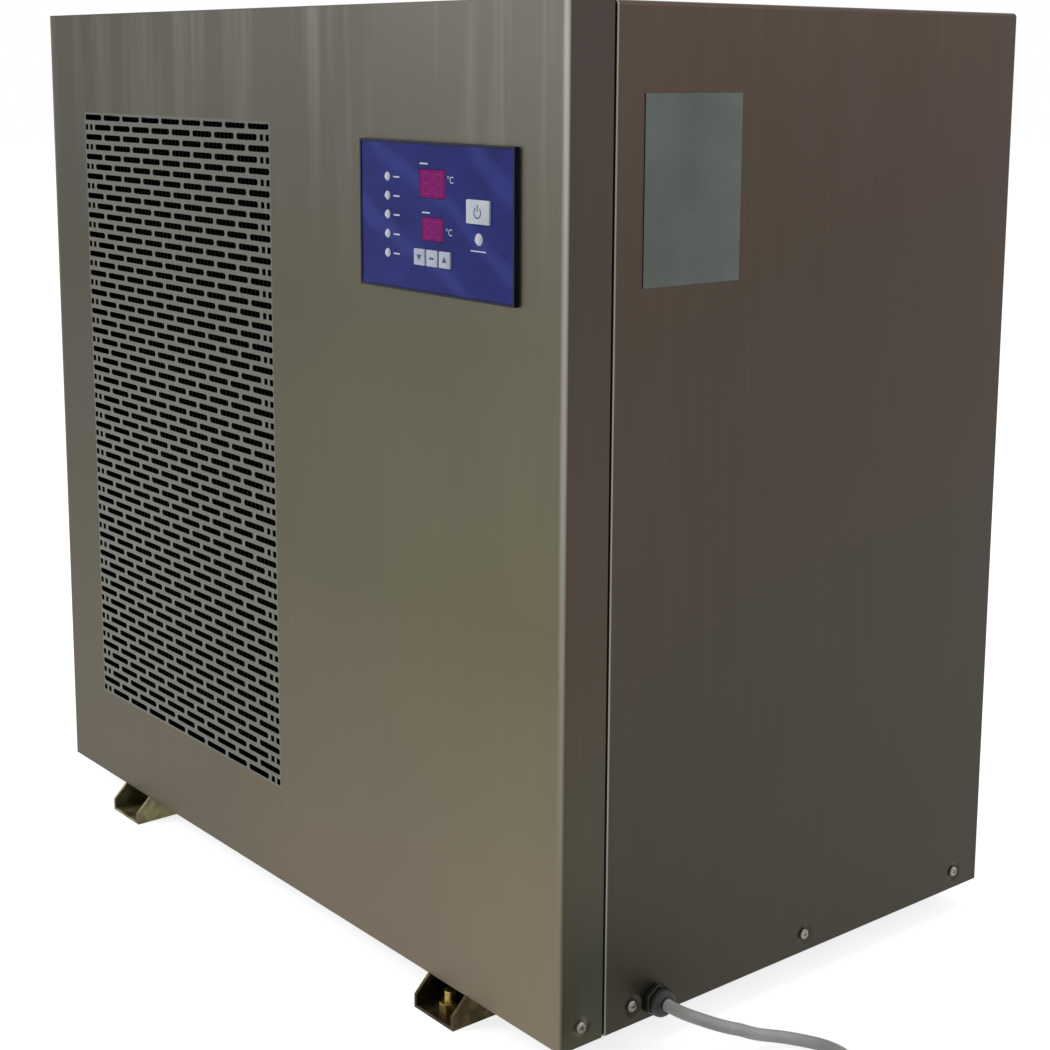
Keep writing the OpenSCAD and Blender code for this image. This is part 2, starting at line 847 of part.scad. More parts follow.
module control_bezel() {
    color("darkslategray") {
        along_y(recess_y, front_y) difference() {
            panel_outline(0);
            panel_openings(slip);
        }
        along_y(front_y - bezel_t, recess_y) difference() {
            panel_outline(0);
            panel_outline(rim_w);
        }
        along_y(front_y, front_y + spigot_l) difference() {
            panel_outline(spigot_in);
            panel_outline(spigot_in + spigot_t);
        }
    }
}

module control_overlay() {
    color("navy") along_y(recess_y - overlay_t, recess_y) difference() {
        panel_outline(rim_w + slip / 3);
        panel_openings(slip);
    }
}

module panel_retainer() {
    y0 = front_y + sheet_t;
    color("gray") along_y(y0, y0 + retainer_t) difference() {
        panel_outline(spigot_in - retainer_w);
        panel_outline(spigot_in - slip / 3);
    }
}

module control_board() {
    color("darkgreen") along_y(board_y, board_y + board_t) panel_outline(board_in);
}

module board_standoffs() {
    color("gold") for (u = [standoff_in, panel_w - standoff_in])
        for (v = [standoff_in, panel_h - standoff_in])
        bar_y(at_u(u), at_v(v), standoff_r, front_y, board_y);
}

// Places of the keys: [u, v, size]
key_places = [
    [key_us[0], key_v, small_key], [key_us[1], key_v, small_key], [key_us[2], key_v, small_key],
    [large_at[0], large_at[1], large_key]
];

module key_switches() {
    color("black") for (k = key_places)
        along_y(board_y - switch_h, board_y) rect_at(at_u(k[0]), at_v(k[1]), switch_w, switch_w);
}

// A window with its digit block behind it, down to the board
module display(at, size) {
    color("mediumvioletred") {
        along_y(recess_y - overlay_t, front_y + over) rect_at(at_u(at[0]), at_v(at[1]), size[0], size[1]);
        along_y(front_y + slip, board_y)
            rect_at(at_u(at[0]), at_v(at[1]), size[0] - module_edge, size[1] - module_edge);
    }
}

module upper_display() {
    display(upper_at, upper_window);
}

module lower_display() {
    display(lower_at, lower_window);
}

// A lens with a tapered front and its light guide, down to the board
module lens(u, v, r) {
    dome = r / 3;
    y = recess_y - overlay_t;
    bar_y(at_u(u), at_v(v), r, y, board_y);
    translate([at_u(u), y, at_v(v)]) rotate([90, 0, 0]) cylinder(h = dome, r1 = r, r2 = r * 0.6);
}

module indicator_lenses() {
    color("white") {
        for (v = lamp_vs) lens(lamp_us, v, lamp_d / 2);
        lens(key_lamp[0], key_lamp[1], key_lamp_r);
    }
}

// A key cap, its lip behind the bezel and its stem just off the switch
module key(k) {
    x = at_u(k[0]);
    z = at_v(k[1]);
    w = k[2][0];
    h = k[2][1];
    lip_y = front_y + slip;
    color("ivory") {
        along_y(recess_y - overlay_t - key_proud, lip_y + key_lip_t) rect_at(x, z, w, h);
        along_y(lip_y, lip_y + key_lip_t) rect_at(x, z, w + 2 * key_lip, h + 2 * key_lip);
        along_y(lip_y, board_y - switch_h - key_travel - key_gap) rect_at(x, z, switch_w, switch_w);
    }
}

module key_down() {
    key(key_places[0]);
}

module key_set() {
    key(key_places[1]);
}

module key_up() {
    key(key_places[2]);
}

module mode_key() {
    key(key_places[3]);
}

condenser_x0 = grille_x - condenser_w / 2;
condenser_x1 = grille_x + condenser_w / 2;
condenser_y1 = condenser_y0 + condenser_d;

// Plan of the fin pack: a web with fins to the front and back
module fin_plan() {
    w = condenser_w - 2 * condenser_t;
    count = floor((w - fin_t) / fin_pitch) + 1;
    x0 = grille_x - ((count - 1) * fin_pitch + fin_t) / 2;
    middle = (condenser_y0 + condenser_y1) / 2;
    front = [
        for (i = [0:count - 1]) let (x = x0 + i * fin_pitch)
            each [[x, middle - fin_web / 2], [x, condenser_y0], [x + fin_t, condenser_y0],
                [x + fin_t, middle - fin_web / 2]]
    ];
    back = [
        for (i = [count - 1:-1:0]) let (x = x0 + i * fin_pitch)
            each [[x + fin_t, middle + fin_web / 2], [x + fin_t, condenser_y1], [x, condenser_y1],
                [x, middle + fin_web / 2]]
    ];
    polygon(concat([[condenser_x0 + condenser_t, middle - fin_web / 2]], front,
        [[condenser_x1 - condenser_t, middle - fin_web / 2],
            [condenser_x1 - condenser_t, middle + fin_web / 2]],
        back, [[condenser_x0 + condenser_t, middle + fin_web / 2]]));
}

module condenser_fins() {
    color("silver") translate([0, 0, floor_z + condenser_t])
        linear_extrude(condenser_h - 2 * condenser_t) fin_plan();
}

module condenser_frame() {
    color("lightgray") along_y(condenser_y0, condenser_y1) difference() {
        rect_at(grille_x, floor_z + condenser_h / 2, condenser_w, condenser_h);
        rect_at(grille_x, floor_z + condenser_h / 2, condenser_w - 2 * condenser_t,
            condenser_h - 2 * condenser_t);
    }
}

// Return bends in two staggered rows on the end plates
bend_pitch = (condenser_h - 4 * return_r) / (bend_count - 0.5);
bend_rows = [condenser_y0 + condenser_d * 0.3, condenser_y0 + condenser_d * 0.7];
module return_bend(side, y, z) {
    x = side > 0 ? condenser_x1 : condenser_x0;
    translate([x, y, z]) rotate([0, side * 90, 0]) rotate([90, 0, 0])
        rotate_extrude(angle = 180) translate([return_r, 0]) circle(r = bend_tube_r);
}

module condenser_bends() {
    color("peru") for (side = [-1, 1]) for (row = [0, 1]) for (i = [0:bend_count - 1])
        return_bend(side, bend_rows[row], floor_z + 2 * return_r + (i + row / 2) * bend_pitch);
}

module divider_panel() {
    color("silver") block([divider_x, divider_y0, floor_z],
        [divider_x + divider_t, tray_y1 - tray_t, floor_z + divider_h]);
}

module fan_rings() {
    r = panel_hole_r;
    color("gray") for (z = fan_zs) translate([grille_x, back_y - sheet_t, z]) rotate([90, 0, 0])
        difference() {
        union() {
            cylinder(h = ring_t, r = r + ring_flange_w, $fn = 96);
            cylinder(h = ring_l, r = r + ring_t, $fn = 96);
        }
        translate([0, 0, -over]) cylinder(h = ring_l + 2 * over, r = r, $fn = 96);
        for (turn = [45:90:315]) rotate(turn) translate([guard_screw_r, 0, -over])
            cylinder(h = ring_t + 2 * over, r = screw_d / 2 + hole_slack);
    }
}

// Guard of concentric square bars on radial bars, with a plate in the middle and four feet
module fan_guard(z) {
    ring_count = floor((guard_r - guard_plate_r) / guard_pitch);
    step = (guard_r - guard_plate_r) / ring_count;
    color("dimgray") translate([grille_x, back_y, z]) rotate([-90, 0, 0]) difference() {
        union() {
            translate([0, 0, guard_h]) cylinder(h = guard_bar, r = guard_plate_r + guard_bar);
            for (i = [1:ring_count]) translate([0, 0, guard_h]) rotate_extrude($fn = 96)
                translate([guard_plate_r + i * step - guard_bar, 0]) square(guard_bar);
            for (turn = [45:90:315]) rotate(turn) {
                translate([guard_plate_r, -guard_bar / 2, guard_h])
                    cube([guard_r - guard_plate_r, guard_bar, guard_bar]);
                translate([guard_r - guard_bar, -guard_foot[0] / 2, 0])
                    cube([guard_bar, guard_foot[0], guard_h + guard_bar]);
                translate([guard_r - guard_bar, -guard_foot[0] / 2, 0])
                    cube([guard_foot[1] - guard_bar, guard_foot[0], guard_foot[2]]);
            }
        }
        for (turn = [45:90:315]) rotate(turn) translate([guard_screw_r, 0, -over])
            cylinder(h = guard_foot[2] + 2 * over, r = screw_d / 2 + hole_slack);
    }
}

module upper_fan_guard() {
    fan_guard(fan_zs[1]);
}

module lower_fan_guard() {
    fan_guard(fan_zs[0]);
}

// Stators: a flange on the guard's plate and a spindle that the rotor turns on
module fan_motors() {
    color("black") for (z = fan_zs) {
        bar_y(grille_x, z, stator_r, back_y + guard_h - stator_t, back_y + guard_h);
        bar_y(grille_x, z, spindle_r, back_y + guard_h - stator_t - hub_gap - bore_l + hub_gap,
            back_y + guard_h);
    }
}

// A rotor: its can runs on the spindle and carries flat pitched blades
module fan_rotor(z) {
    hub_back = guard_h - stator_t - hub_gap;
    blade_y = -ring_l / 2;
    color("dimgray") translate([grille_x, back_y, z]) rotate([-90, 0, 0]) difference() {
        union() {
            translate([0, 0, hub_back - hub_l]) cylinder(h = hub_l, r = hub_r);
            intersection() {
                difference() {
                    translate([0, 0, -ring_l]) cylinder(h = ring_l, r = tip_r, $fn = 96);
                    translate([0, 0, -ring_l - over]) cylinder(h = ring_l + 2 * over, r = hub_r - over);
                }
                union() for (i = [0:blade_count - 1]) rotate(i * 360 / blade_count)
                    translate([0, 0, blade_y]) rotate([blade_pitch, 0, 0])
                        linear_extrude(blade_t, center = true)
                        polygon([
                            [hub_r - 2 * over, -blade_root], [tip_r + over, -blade_tip],
                            [tip_r + over, blade_tip], [hub_r - 2 * over, blade_root]
                        ]);
            }
        }
        translate([0, 0, hub_back - bore_l]) cylinder(h = bore_l + over, r = spindle_r + running);
    }
}

module upper_fan_rotor() {
    fan_rotor(fan_zs[1]);
}

module lower_fan_rotor() {
    fan_rotor(fan_zs[0]);
}

foot_turns = [-30, 90, 210];
module at_feet() {
    for (turn = foot_turns) translate(compressor_at) rotate(turn)
        translate([foot_r - foot_w / 2, 0, 0]) children();
}

module compressor_shell() {
    color("black") {
        translate([compressor_at[0], compressor_at[1], compressor_z])
            rounded_can(compressor_r, compressor_h, can_k);
        translate([compressor_at[0], compressor_at[1], compressor_z + compressor_h - over])
            cylinder(h = stub_l + over, r = stub_r);
        bar_y(compressor_at[0], suction_z, stub_r, compressor_at[1] - compressor_r - side_stub_l,
            compressor_at[1]);
        difference() {
            for (turn = foot_turns) translate([compressor_at[0], compressor_at[1], compressor_z])
                rotate(turn)
                translate([0, -foot_w / 2, 0]) cube([foot_r, foot_w, foot_t]);
            at_feet() translate([0, 0, floor_z]) cylinder(h = grommet_h + foot_t + over, r = pin_r + slip);
        }
    }
}

module compressor_mounts() {
    color("black") at_feet() translate([0, 0, floor_z]) difference() {
        cylinder(h = grommet_h, r = grommet_r);
        translate([0, 0, -over]) cylinder(h = grommet_h + 2 * over, r = pin_r + slip);
    }
}

module compressor_bolts() {
    color("silver") at_feet() {
        translate([0, 0, floor_z]) cylinder(h = grommet_h + foot_t, r = pin_r);
        translate([0, 0, floor_z + grommet_h + foot_t]) cylinder(h = pin_head_h, r = pin_head_r, $fn = 6);
    }
}

module terminal_cover() {
    x = compressor_at[0];
    y = compressor_at[1] + compressor_r;
    color("black") difference() {
        block([x - cover_size[0] / 2, y - cover_size[1] / 2, cover_z],
            [x + cover_size[0] / 2, y + cover_size[1] / 2, cover_z + cover_size[2]]);
        translate([compressor_at[0], compressor_at[1], cover_z - over])
            cylinder(h = cover_size[2] + 2 * over, r = compressor_r + running);
    }
}

module accumulator() {
    color("black") {
        translate([accumulator_at[0], accumulator_at[1], accumulator_z])
            rounded_can(accumulator_r, accumulator_h, accumulator_r / 2);
        for (z = [accumulator_z - stub_l, accumulator_z + accumulator_h - over])
            translate([accumulator_at[0], accumulator_at[1], z]) cylinder(h = stub_l + over, r = stub_r);
    }
}

module filter_drier() {
    color("peru") {
        translate([drier_at[0], drier_at[1], drier_z]) rounded_can(drier_r, drier_h, drier_k);
        for (z = [drier_z - stub_l, drier_z + drier_h - over])
            translate([drier_at[0], drier_at[1], z]) cylinder(h = stub_l + over, r = stub_r);
    }
}

valve_ports = [-1, 0, 1];
module reversing_valve() {
    color("goldenrod") {
        bar_y(valve_at[0], valve_z, valve_r, valve_at[1] - valve_l / 2, valve_at[1] + valve_l / 2);
        translate([valve_at[0], valve_at[1], valve_z]) cylinder(h = valve_r + stub_l, r = stub_r);
        for (k = valve_ports)
            translate([valve_at[0], valve_at[1] + k * valve_step, valve_z - valve_r - stub_l])
            cylinder(h = valve_r + stub_l, r = stub_r);
        translate([valve_at[0] + valve_r - over, valve_at[1] - solenoid[1] / 2, valve_z - solenoid[2] / 2])
            cube(solenoid);
    }
}

// Seven separate pipes between the pieces of the circuit
module copper_pipes() {
    c = compressor_at;
    a = accumulator_at;
    d = drier_at;
    v = valve_at;
    over_valve = valve_z + valve_r + stub_l;
    under_valve = valve_z - valve_r - stub_l;
    cap_top = barrel_top + cap_t + stub_l;
    side_x = divider_x + divider_t + pipe_side;
    row_y = condenser_y0 + condenser_d / 2;
    run_x = c[0] + pipe_past;
    run_y = v[1] - valve_step;
    color("peru") {
        pipe([
            [c[0], c[1], compressor_z + compressor_h + stub_l], [c[0], c[1], over_valve + pipe_dip],
            [v[0], c[1], over_valve + pipe_dip], [v[0], v[1], over_valve + pipe_dip],
                [v[0], v[1], over_valve]
        ]);
        pipe([
            [v[0], v[1], under_valve], [v[0], v[1], under_valve - pipe_dip],
                [v[0], a[1], under_valve - pipe_dip],
            [a[0], a[1], under_valve - pipe_dip], [a[0], a[1], accumulator_z + accumulator_h + stub_l]
        ]);
        pipe([
            [a[0], a[1], accumulator_z - stub_l], [a[0], a[1], suction_z],
            [a[0], c[1] - compressor_r - side_stub_l, suction_z]
        ]);
        pipe([
            [v[0], v[1] + valve_step, under_valve], [v[0], v[1] + valve_step, under_valve - pipe_dip],
            [side_x, v[1] + valve_step, under_valve - pipe_dip], [side_x, row_y, under_valve - pipe_dip],
            [condenser_x1, row_y, under_valve - pipe_dip]
        ]);
        pipe([
            [v[0], run_y, under_valve], [v[0], run_y, under_valve - pipe_dip / 2],
            [run_x, run_y, under_valve - pipe_dip / 2], [run_x, run_y, cap_top + pipe_dip],
            [barrel_at[0], run_y, cap_top + pipe_dip], [barrel_at[0], barrel_at[1], cap_top + pipe_dip],
            [barrel_at[0], barrel_at[1], cap_top]
        ]);
        pipe([
            [d[0], barrel_at[1] + fitting_at[1], cap_top],
                [d[0], barrel_at[1] + fitting_at[1], cap_top + pipe_dip],
            [d[0], d[1], cap_top + pipe_dip], [d[0], d[1], drier_z + drier_h + stub_l]
        ]);
        pipe([
            [d[0], d[1], drier_z - stub_l], [d[0], d[1], drier_z - stub_l - pipe_dip],
            [d[0], row_y, drier_z - stub_l - pipe_dip], [condenser_x1, row_y, drier_z - stub_l - pipe_dip]
        ]);
    }
}

module exchanger_shell() {
    color("whitesmoke") difference() {
        union() {
            translate([barrel_at[0], barrel_at[1], barrel_z]) cylinder(h = barrel_h, r = barrel_r, $fn = 96);
            translate([barrel_at[0], barrel_at[1], barrel_top - barrel_flange_t])
                cylinder(h = barrel_flange_t, r = barrel_r + barrel_flange_w, $fn = 96);
            for (z = port_zs) bar_y(barrel_at[0], z, port_r, barrel_at[1], port_y);
        }
        translate([barrel_at[0], barrel_at[1], barrel_z + barrel_t])
            cylinder(h = barrel_h, r = barrel_r - barrel_t, $fn = 96);
        for (z = port_zs) bar_y(barrel_at[0], z, port_bore_r, barrel_at[1], port_y + over);
        cap_bolt_holes();
    }
}

module cap_bolt_holes() {
    for (i = [0:cap_bolt_count - 1])
        translate([barrel_at[0], barrel_at[1], barrel_top - barrel_flange_t - over])
        rotate((i + 0.5) * 360 / cap_bolt_count) translate([barrel_r + barrel_flange_w / 2, 0, 0])
            cylinder(h = barrel_flange_t + cap_t + 2 * over, r = cap_bolt_r + slip);
}

// The cap carries its bolts, the two coil fittings and the temperature probe's pocket
module exchanger_cap() {
    color("dimgray") translate([barrel_at[0], barrel_at[1], barrel_top]) {
        cylinder(h = cap_t, r = barrel_r + barrel_flange_w, $fn = 96);
        for (i = [0:cap_bolt_count - 1]) rotate((i + 0.5) * 360 / cap_bolt_count)
            translate([barrel_r + barrel_flange_w / 2, 0, 0]) {
                translate([0, 0, cap_t - over])
                    cylinder(h = cap_bolt_r * 2 + over, r = cap_bolt_r * 2, $fn = 6);
                translate([0, 0, -barrel_flange_t]) cylinder(h = barrel_flange_t + over, r = cap_bolt_r);
            }
        for (p = [[0, 0], fitting_at]) translate([p[0], p[1], cap_t - over])
            cylinder(h = stub_l + over, r = stub_r + over);
        translate([probe_at[0], probe_at[1], cap_t - over]) cylinder(h = stub_l + over, r = probe_r * 2);
        translate([probe_at[0], probe_at[1], -probe_l]) cylinder(h = probe_l + over, r = probe_r);
    }
}

// One tube: down the middle, round the helix and up again, both ends under the cap
module titanium_coil() {
    steps = 16;
    count = titanium_turns * steps + steps / 2;
    low = coil_low_z - barrel_top;
    rise = (coil_high_z - coil_low_z) / count;
    r = titanium_coil_r;
    turns = [
        for (i = [0:count]) let (turn = 180 + i * 360 / steps) [r * cos(turn), r * sin(turn), low + i * rise]
    ];
    down = rounded_line([[0, 0, 0], [0, 0, low], [-r, riser_out, low], [-r, 0, low]], pipe_bend);
    up = rounded_line([turns[count], [r, riser_out, low + count * rise], [r, riser_out, 0]], pipe_bend);
    line = concat([for (i = [0:len(down) - 2]) down[i]], turns, [for (i = [1:len(up) - 1]) up[i]]);
    color("slategray") translate([barrel_at[0], barrel_at[1], barrel_top]) tube(line, titanium_r, 8);
}

// Tail pipes from the barrel through the rear panel, their locknuts and the end sockets
module water_unions() {
    x = barrel_at[0];
    tail_y = back_y + locknut_h + union_back + collar_t;
    color("dimgray") for (z = port_zs) {
        difference() {
            union() {
                bar_y(x, z, tail_r, port_y, tail_y);
                bar_y(x, z, collar_r, tail_y - collar_t, tail_y);
            }
            bar_y(x, z, port_bore_r, port_y - over, tail_y + over);
        }
        translate([x, back_y, z]) rotate([-90, 0, 0]) hex_nut(locknut_r, locknut_h, tail_r + running);
        difference() {
            union() {
                bar_y(x, z, collar_r, tail_y, tail_y + collar_t);
                bar_y(x, z, tail_r, tail_y, tail_y + collar_t + union_l);
            }
            bar_y(x, z, port_bore_r, tail_y - over, tail_y + collar_t + over);
            bar_y(x, z, socket_r, tail_y + collar_t + union_l - socket_l,
                tail_y + collar_t + union_l + over);
        }
    }
}

// A union nut: a ring that turns round the end socket, with its ribs
module union_nut(z) {
    x = barrel_at[0];
    tail_y = back_y + locknut_h + union_back + collar_t;
    y0 = back_y + locknut_h + slip;
    y1 = tail_y + collar_t + slip + union_wall;
    color("black") difference() {
        union() {
            bar_y(x, z, union_r - over, y0, y1);
            for (turn = [0:30:330]) translate([x, y0, z]) rotate([-90, 0, 0]) rotate(turn)
                translate([union_r - 3 * over, -over, 0]) cube([3 * over, 2 * over, y1 - y0]);
        }
        bar_y(x, z, collar_r + slip, y0 - over, tail_y + collar_t + slip);
        bar_y(x, z, tail_r + running, y0 - over, y1 + over);
    }
}

module inlet_union_nut() {
    union_nut(port_zs[0]);
}

module outlet_union_nut() {
    union_nut(port_zs[1]);
}

module electrical_box() {
    low = [box_x0, box_y0, box_z0];
    high = low + box_size;
    color("silver") difference() {
        block(low, high);
        block([low[0] + box_t, low[1] - over, low[2] + box_t],
            [high[0] - box_t, high[1] - box_t, high[2] - box_t]);
    }
}

box_back_y = box_y0 + box_size[1] - box_t;
module contactor() {
    x = box_x0 + box_size[0] / 4;
    z = box_z0 + box_size[2] * 0.62;
    color("black") {
        along_y(box_back_y - contactor_size[1], box_back_y)
            rect_at(x, z, contactor_size[0], contactor_size[2]);
        along_y(box_back_y - contactor_size[1] * 0.7, box_back_y)
            rect_at(x, z, contactor_size[0] * 1.25, contactor_size[2] * 0.6);
    }
}

module run_capacitor() {
    x = box_x0 + box_size[0] * 0.7;
    z = box_z0 + box_size[2] - box_t - capacitor_h - capacitor_r;
    y = box_back_y - capacitor_r - slip;
    color("silver") {
        translate([x, y, z]) cylinder(h = capacitor_h, r = capacitor_r);
        along_y(box_back_y - capacitor_r, box_back_y)
            rect_at(x, z - box_t / 2, 2 * capacitor_r + box_t, box_t);
    }
}

module terminal_block() {
    z = box_z0 + box_t + block_size[2];
    x = box_x0 + box_size[0] / 2;
    color("ivory") {
        along_y(box_back_y - block_size[1], box_back_y) rect_at(x, z, block_size[0], block_size[2]);
    }
}

module cable_gland() {
    nut_in = inset + tray_t + gland_nut_t + slip;
    color("black") on_side(1, gland_at[0], gland_at[1]) difference() {
        union() {
            rotate(30) cylinder(h = gland_hex_t, r = gland_hex_r, $fn = 6);
            rotate_extrude() polygon([
                [0, gland_hex_t - over], [gland_dome_r, gland_hex_t - over], [gland_dome_r, gland_l * 0.6],
                [gland_seal_r, gland_l], [0, gland_l]
            ]);
            translate([0, 0, -gland_thread_l]) cylinder(h = gland_thread_l + over, r = gland_thread_r);
            translate([0, 0, -nut_in]) rotate(30) cylinder(h = gland_nut_t, r = gland_hex_r, $fn = 6);
        }
        translate([0, 0, -gland_thread_l - over])
            cylinder(h = gland_thread_l + gland_l - over, r = gland_bore_r);
    }
}

module mains_cord() {
    color("lightgray") tube(cord_line, cord_r, 10);
}

// The coil's line: in over the lower layer, up in half a turn, out over the upper layer, each end straight
coil_in_r = coil_out_r - coil_turns * coil_pitch;
coil_steps = round(coil_turns * coil_rings);
half_steps = coil_rings / 2;
coil_count = 2 * coil_steps + half_steps;
function on_coil(turn, r, z) = [coil_at[0] + r * cos(turn), coil_at[1] + r * sin(turn), z];
function coil_turn(i) = coil_start - i * 360 / coil_rings;
function climbed(i) = (i - coil_steps) / half_steps;
function coil_r(i) =
    i <= coil_steps ? coil_out_r - i * coil_pitch / coil_rings
    : i <= coil_steps + half_steps ? coil_in_r - coil_dip * sin(180 * climbed(i))
    : coil_in_r + (i - coil_steps - half_steps) * coil_pitch / coil_rings;
function coil_z(i) = coil_low + min(1, max(0, climbed(i))) * (coil_high - coil_low);
coil_line = [for (i = [0:coil_count]) on_coil(coil_turn(i), coil_r(i), coil_z(i))];
function heading(turn) = [sin(turn), -cos(turn), 0];
coil_end_turn = coil_turn(coil_count);
coil_first = coil_line[0] - cord_d * heading(coil_start);
coil_last = coil_line[coil_count] + coil_tail * heading(coil_end_turn);
coil_path = concat([coil_first], coil_line, [coil_last]);
far_apart = coil_rings / 2;
coil_least = min([
    for (i = [0:len(coil_path) - 1]) for (j = [i + far_apart:1:len(coil_path) - 1])
        norm(coil_path[i] - coil_path[j])
]) - cord_d;

// The free stretch, from the gland's mouth to the coil's first face
cord_line = concat(
    [
        for (p = cord_route)
            [right_x + gland_l + p[0], gland_at[0] + p[1], cord_r + p[2] * (gland_at[1] - cord_r)]
    ],
    [coil_first - cord_d * heading(coil_start), coil_first]
);
function steps_of(p) = [for (i = [1:len(p) - 1]) norm(p[i] - p[i - 1])];
function total(list, i = 0) = i == len(list) ? 0 : list[i] + total(list, i + 1);
echo(coil_gap_mm = coil_least, coil_mm = total(steps_of(coil_path)), free_mm = total(steps_of(cord_line)));
echo(coil_first = coil_first, coil_last = coil_last, coil_end_turn = coil_end_turn);

module cord_coil() {
    color("lightgray") tube(coil_path, cord_r, 6);
}

// A strap round both layers of the coil
module cord_tie() {
    r0 = coil_in_r - cord_r - slip;
    r1 = coil_out_r + cord_r + slip;
    z1 = coil_high + cord_r + slip;
    color("black") translate([coil_at[0], coil_at[1], 0]) rotate(tie_angle) difference() {
        block([r0 - tie_t, -tie_w / 2, 0], [r1 + tie_t, tie_w / 2, z1 + tie_t]);
        block([r0, -tie_w / 2 - over, tie_t], [r1, tie_w / 2 + over, z1]);
    }
}

// Plug on the coil's end, along its last heading
module on_plug() {
    translate(coil_last) rotate(coil_end_turn - 90) rotate([0, 90, 0]) children();
}

module plug_body() {
    color("black") on_plug() {
        cylinder(h = relief_l + over, r = relief_r);
        translate([0, 0, relief_l]) cylinder(h = plug_l - relief_l, r = plug_r);
    }
}

module plug_pins() {
    color("silver") on_plug() for (side = [-1, 1])
        translate([0, side * plug_pin_gap / 2, plug_l]) cylinder(h = plug_pin_l, r = plug_pin_r);
}

base_tray();
left_foot_rail();
right_foot_rail();
rail_studs();
rail_nuts();
front_frame();
front_cover();
grille_panel();
wrap_cover();
rear_panel();
cover_screws();
rear_screws();
rating_plate();
control_bezel();
control_overlay();
panel_retainer();
control_board();
board_standoffs();
key_switches();
upper_display();
lower_display();
indicator_lenses();
key_down();
key_set();
key_up();
mode_key();
condenser_fins();
condenser_frame();
condenser_bends();
divider_panel();
fan_rings();
upper_fan_guard();
lower_fan_guard();
fan_motors();
upper_fan_rotor();
lower_fan_rotor();
compressor_shell();
compressor_mounts();
compressor_bolts();
terminal_cover();
accumulator();
filter_drier();
reversing_valve();
copper_pipes();
exchanger_shell();
exchanger_cap();
titanium_coil();
water_unions();
inlet_union_nut();
outlet_union_nut();
electrical_box();
contactor();
run_capacitor();
terminal_block();
cable_gland();
mains_cord();
cord_coil();
cord_tie();
plug_body();
plug_pins();
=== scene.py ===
"""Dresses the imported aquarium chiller: finishes, lead, fasteners, fans, water fittings and a studio."""

from __future__ import annotations

import logging
import math
from dataclasses import dataclass
from enum import Enum
from typing import Callable, Iterable, Sequence

import bmesh
import bpy
from mathutils import Matrix, Vector

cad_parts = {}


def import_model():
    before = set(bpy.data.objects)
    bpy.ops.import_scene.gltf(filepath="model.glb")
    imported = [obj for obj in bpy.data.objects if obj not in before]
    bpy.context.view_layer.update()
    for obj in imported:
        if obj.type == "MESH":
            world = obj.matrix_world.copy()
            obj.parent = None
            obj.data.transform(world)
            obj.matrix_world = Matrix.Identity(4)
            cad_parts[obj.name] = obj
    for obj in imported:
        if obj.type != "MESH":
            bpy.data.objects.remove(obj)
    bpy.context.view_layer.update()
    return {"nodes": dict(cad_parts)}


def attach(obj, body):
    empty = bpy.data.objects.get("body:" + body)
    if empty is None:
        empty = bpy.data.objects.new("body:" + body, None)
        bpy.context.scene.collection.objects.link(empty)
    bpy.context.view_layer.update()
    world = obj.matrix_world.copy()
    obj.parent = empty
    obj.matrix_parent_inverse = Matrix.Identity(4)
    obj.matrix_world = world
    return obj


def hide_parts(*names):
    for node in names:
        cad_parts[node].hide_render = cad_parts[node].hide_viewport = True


LOG = logging.getLogger("chiller")
CABINET = "cabinet"
MM = 0.001
WHITE = "#ffffff"
# The cabinet's half width and depth and the fans' axes, in metres
HALF_WIDTH = 0.35
HALF_DEPTH = 0.216
FAN_X = -0.1375
FAN_HEIGHTS = {"lower": 0.212, "upper": 0.502}
# Where nearly all of a noise's values lie, and the inputs that carry such a range to another
NOISE_SPREAD = (0.3, 0.7)
NOISE_RANGE = ("From Min", "From Max", "To Min", "To Max")

Point = tuple[float, float, float]
Colour = tuple[float, float, float, float]
Pairs = Sequence[tuple[float, float]]
Stops = Sequence[tuple[float, str]]
Node = bpy.types.Node
Socket = bpy.types.NodeSocket
Mask = tuple[Socket, float, float, float]
Tree = bpy.types.NodeTree
Material = bpy.types.Material
Piece = bpy.types.Object
BMesh = bmesh.types.BMesh


class Facing(Enum):
    """The side that a fastener or fitting points to."""

    RIGHT = (1.0, 0.0, 0.0)
    LEFT = (-1.0, 0.0, 0.0)
    BACK = (0.0, 1.0, 0.0)

    @property
    def turn(self) -> Matrix:
        """Rotation that carries +Z to this side."""
        return turn_to(self.value)


def turn_to(way: Point | Vector) -> Matrix:
    """Rotation that carries +Z to a direction."""
    return Vector(way).to_track_quat("Z", "Y").to_matrix().to_4x4()


def linear(hex_colour: str) -> Colour:
    """Turns an sRGB hex colour to linear light.

    Args:
        hex_colour: Colour such as "#6c6759".

    Returns:
        Red, green, blue and an alpha of one.
    """
    parts = [int(hex_colour[i : i + 2], 16) / 255 for i in (1, 3, 5)]
    out = [c / 12.92 if c <= 0.04045 else ((c + 0.055) / 1.055) ** 2.4 for c in parts]
    return out[0], out[1], out[2], 1.0


def add(tree: Tree, kind: str, settings: dict | None = None) -> Node:
    """Adds a node with its settings and links.

    Args:
        tree: Tree that gets the node.
        kind: Blender's name of the node type.
        settings: The node's own properties by name, and a value or a socket for inputs by name or number.

    Returns:
        The new node.
    """
    node = tree.nodes.new(kind)
    settings = settings or {}
    own = {k: v for k, v in settings.items() if isinstance(k, str) and hasattr(node, k)}
    for key, value in own.items():
        setattr(node, key, value)
    for key, value in settings.items():
        if isinstance(value, Socket):
            tree.links.new(value, node.inputs[key])
        elif key not in own:
            node.inputs[key].default_value = value
    return node


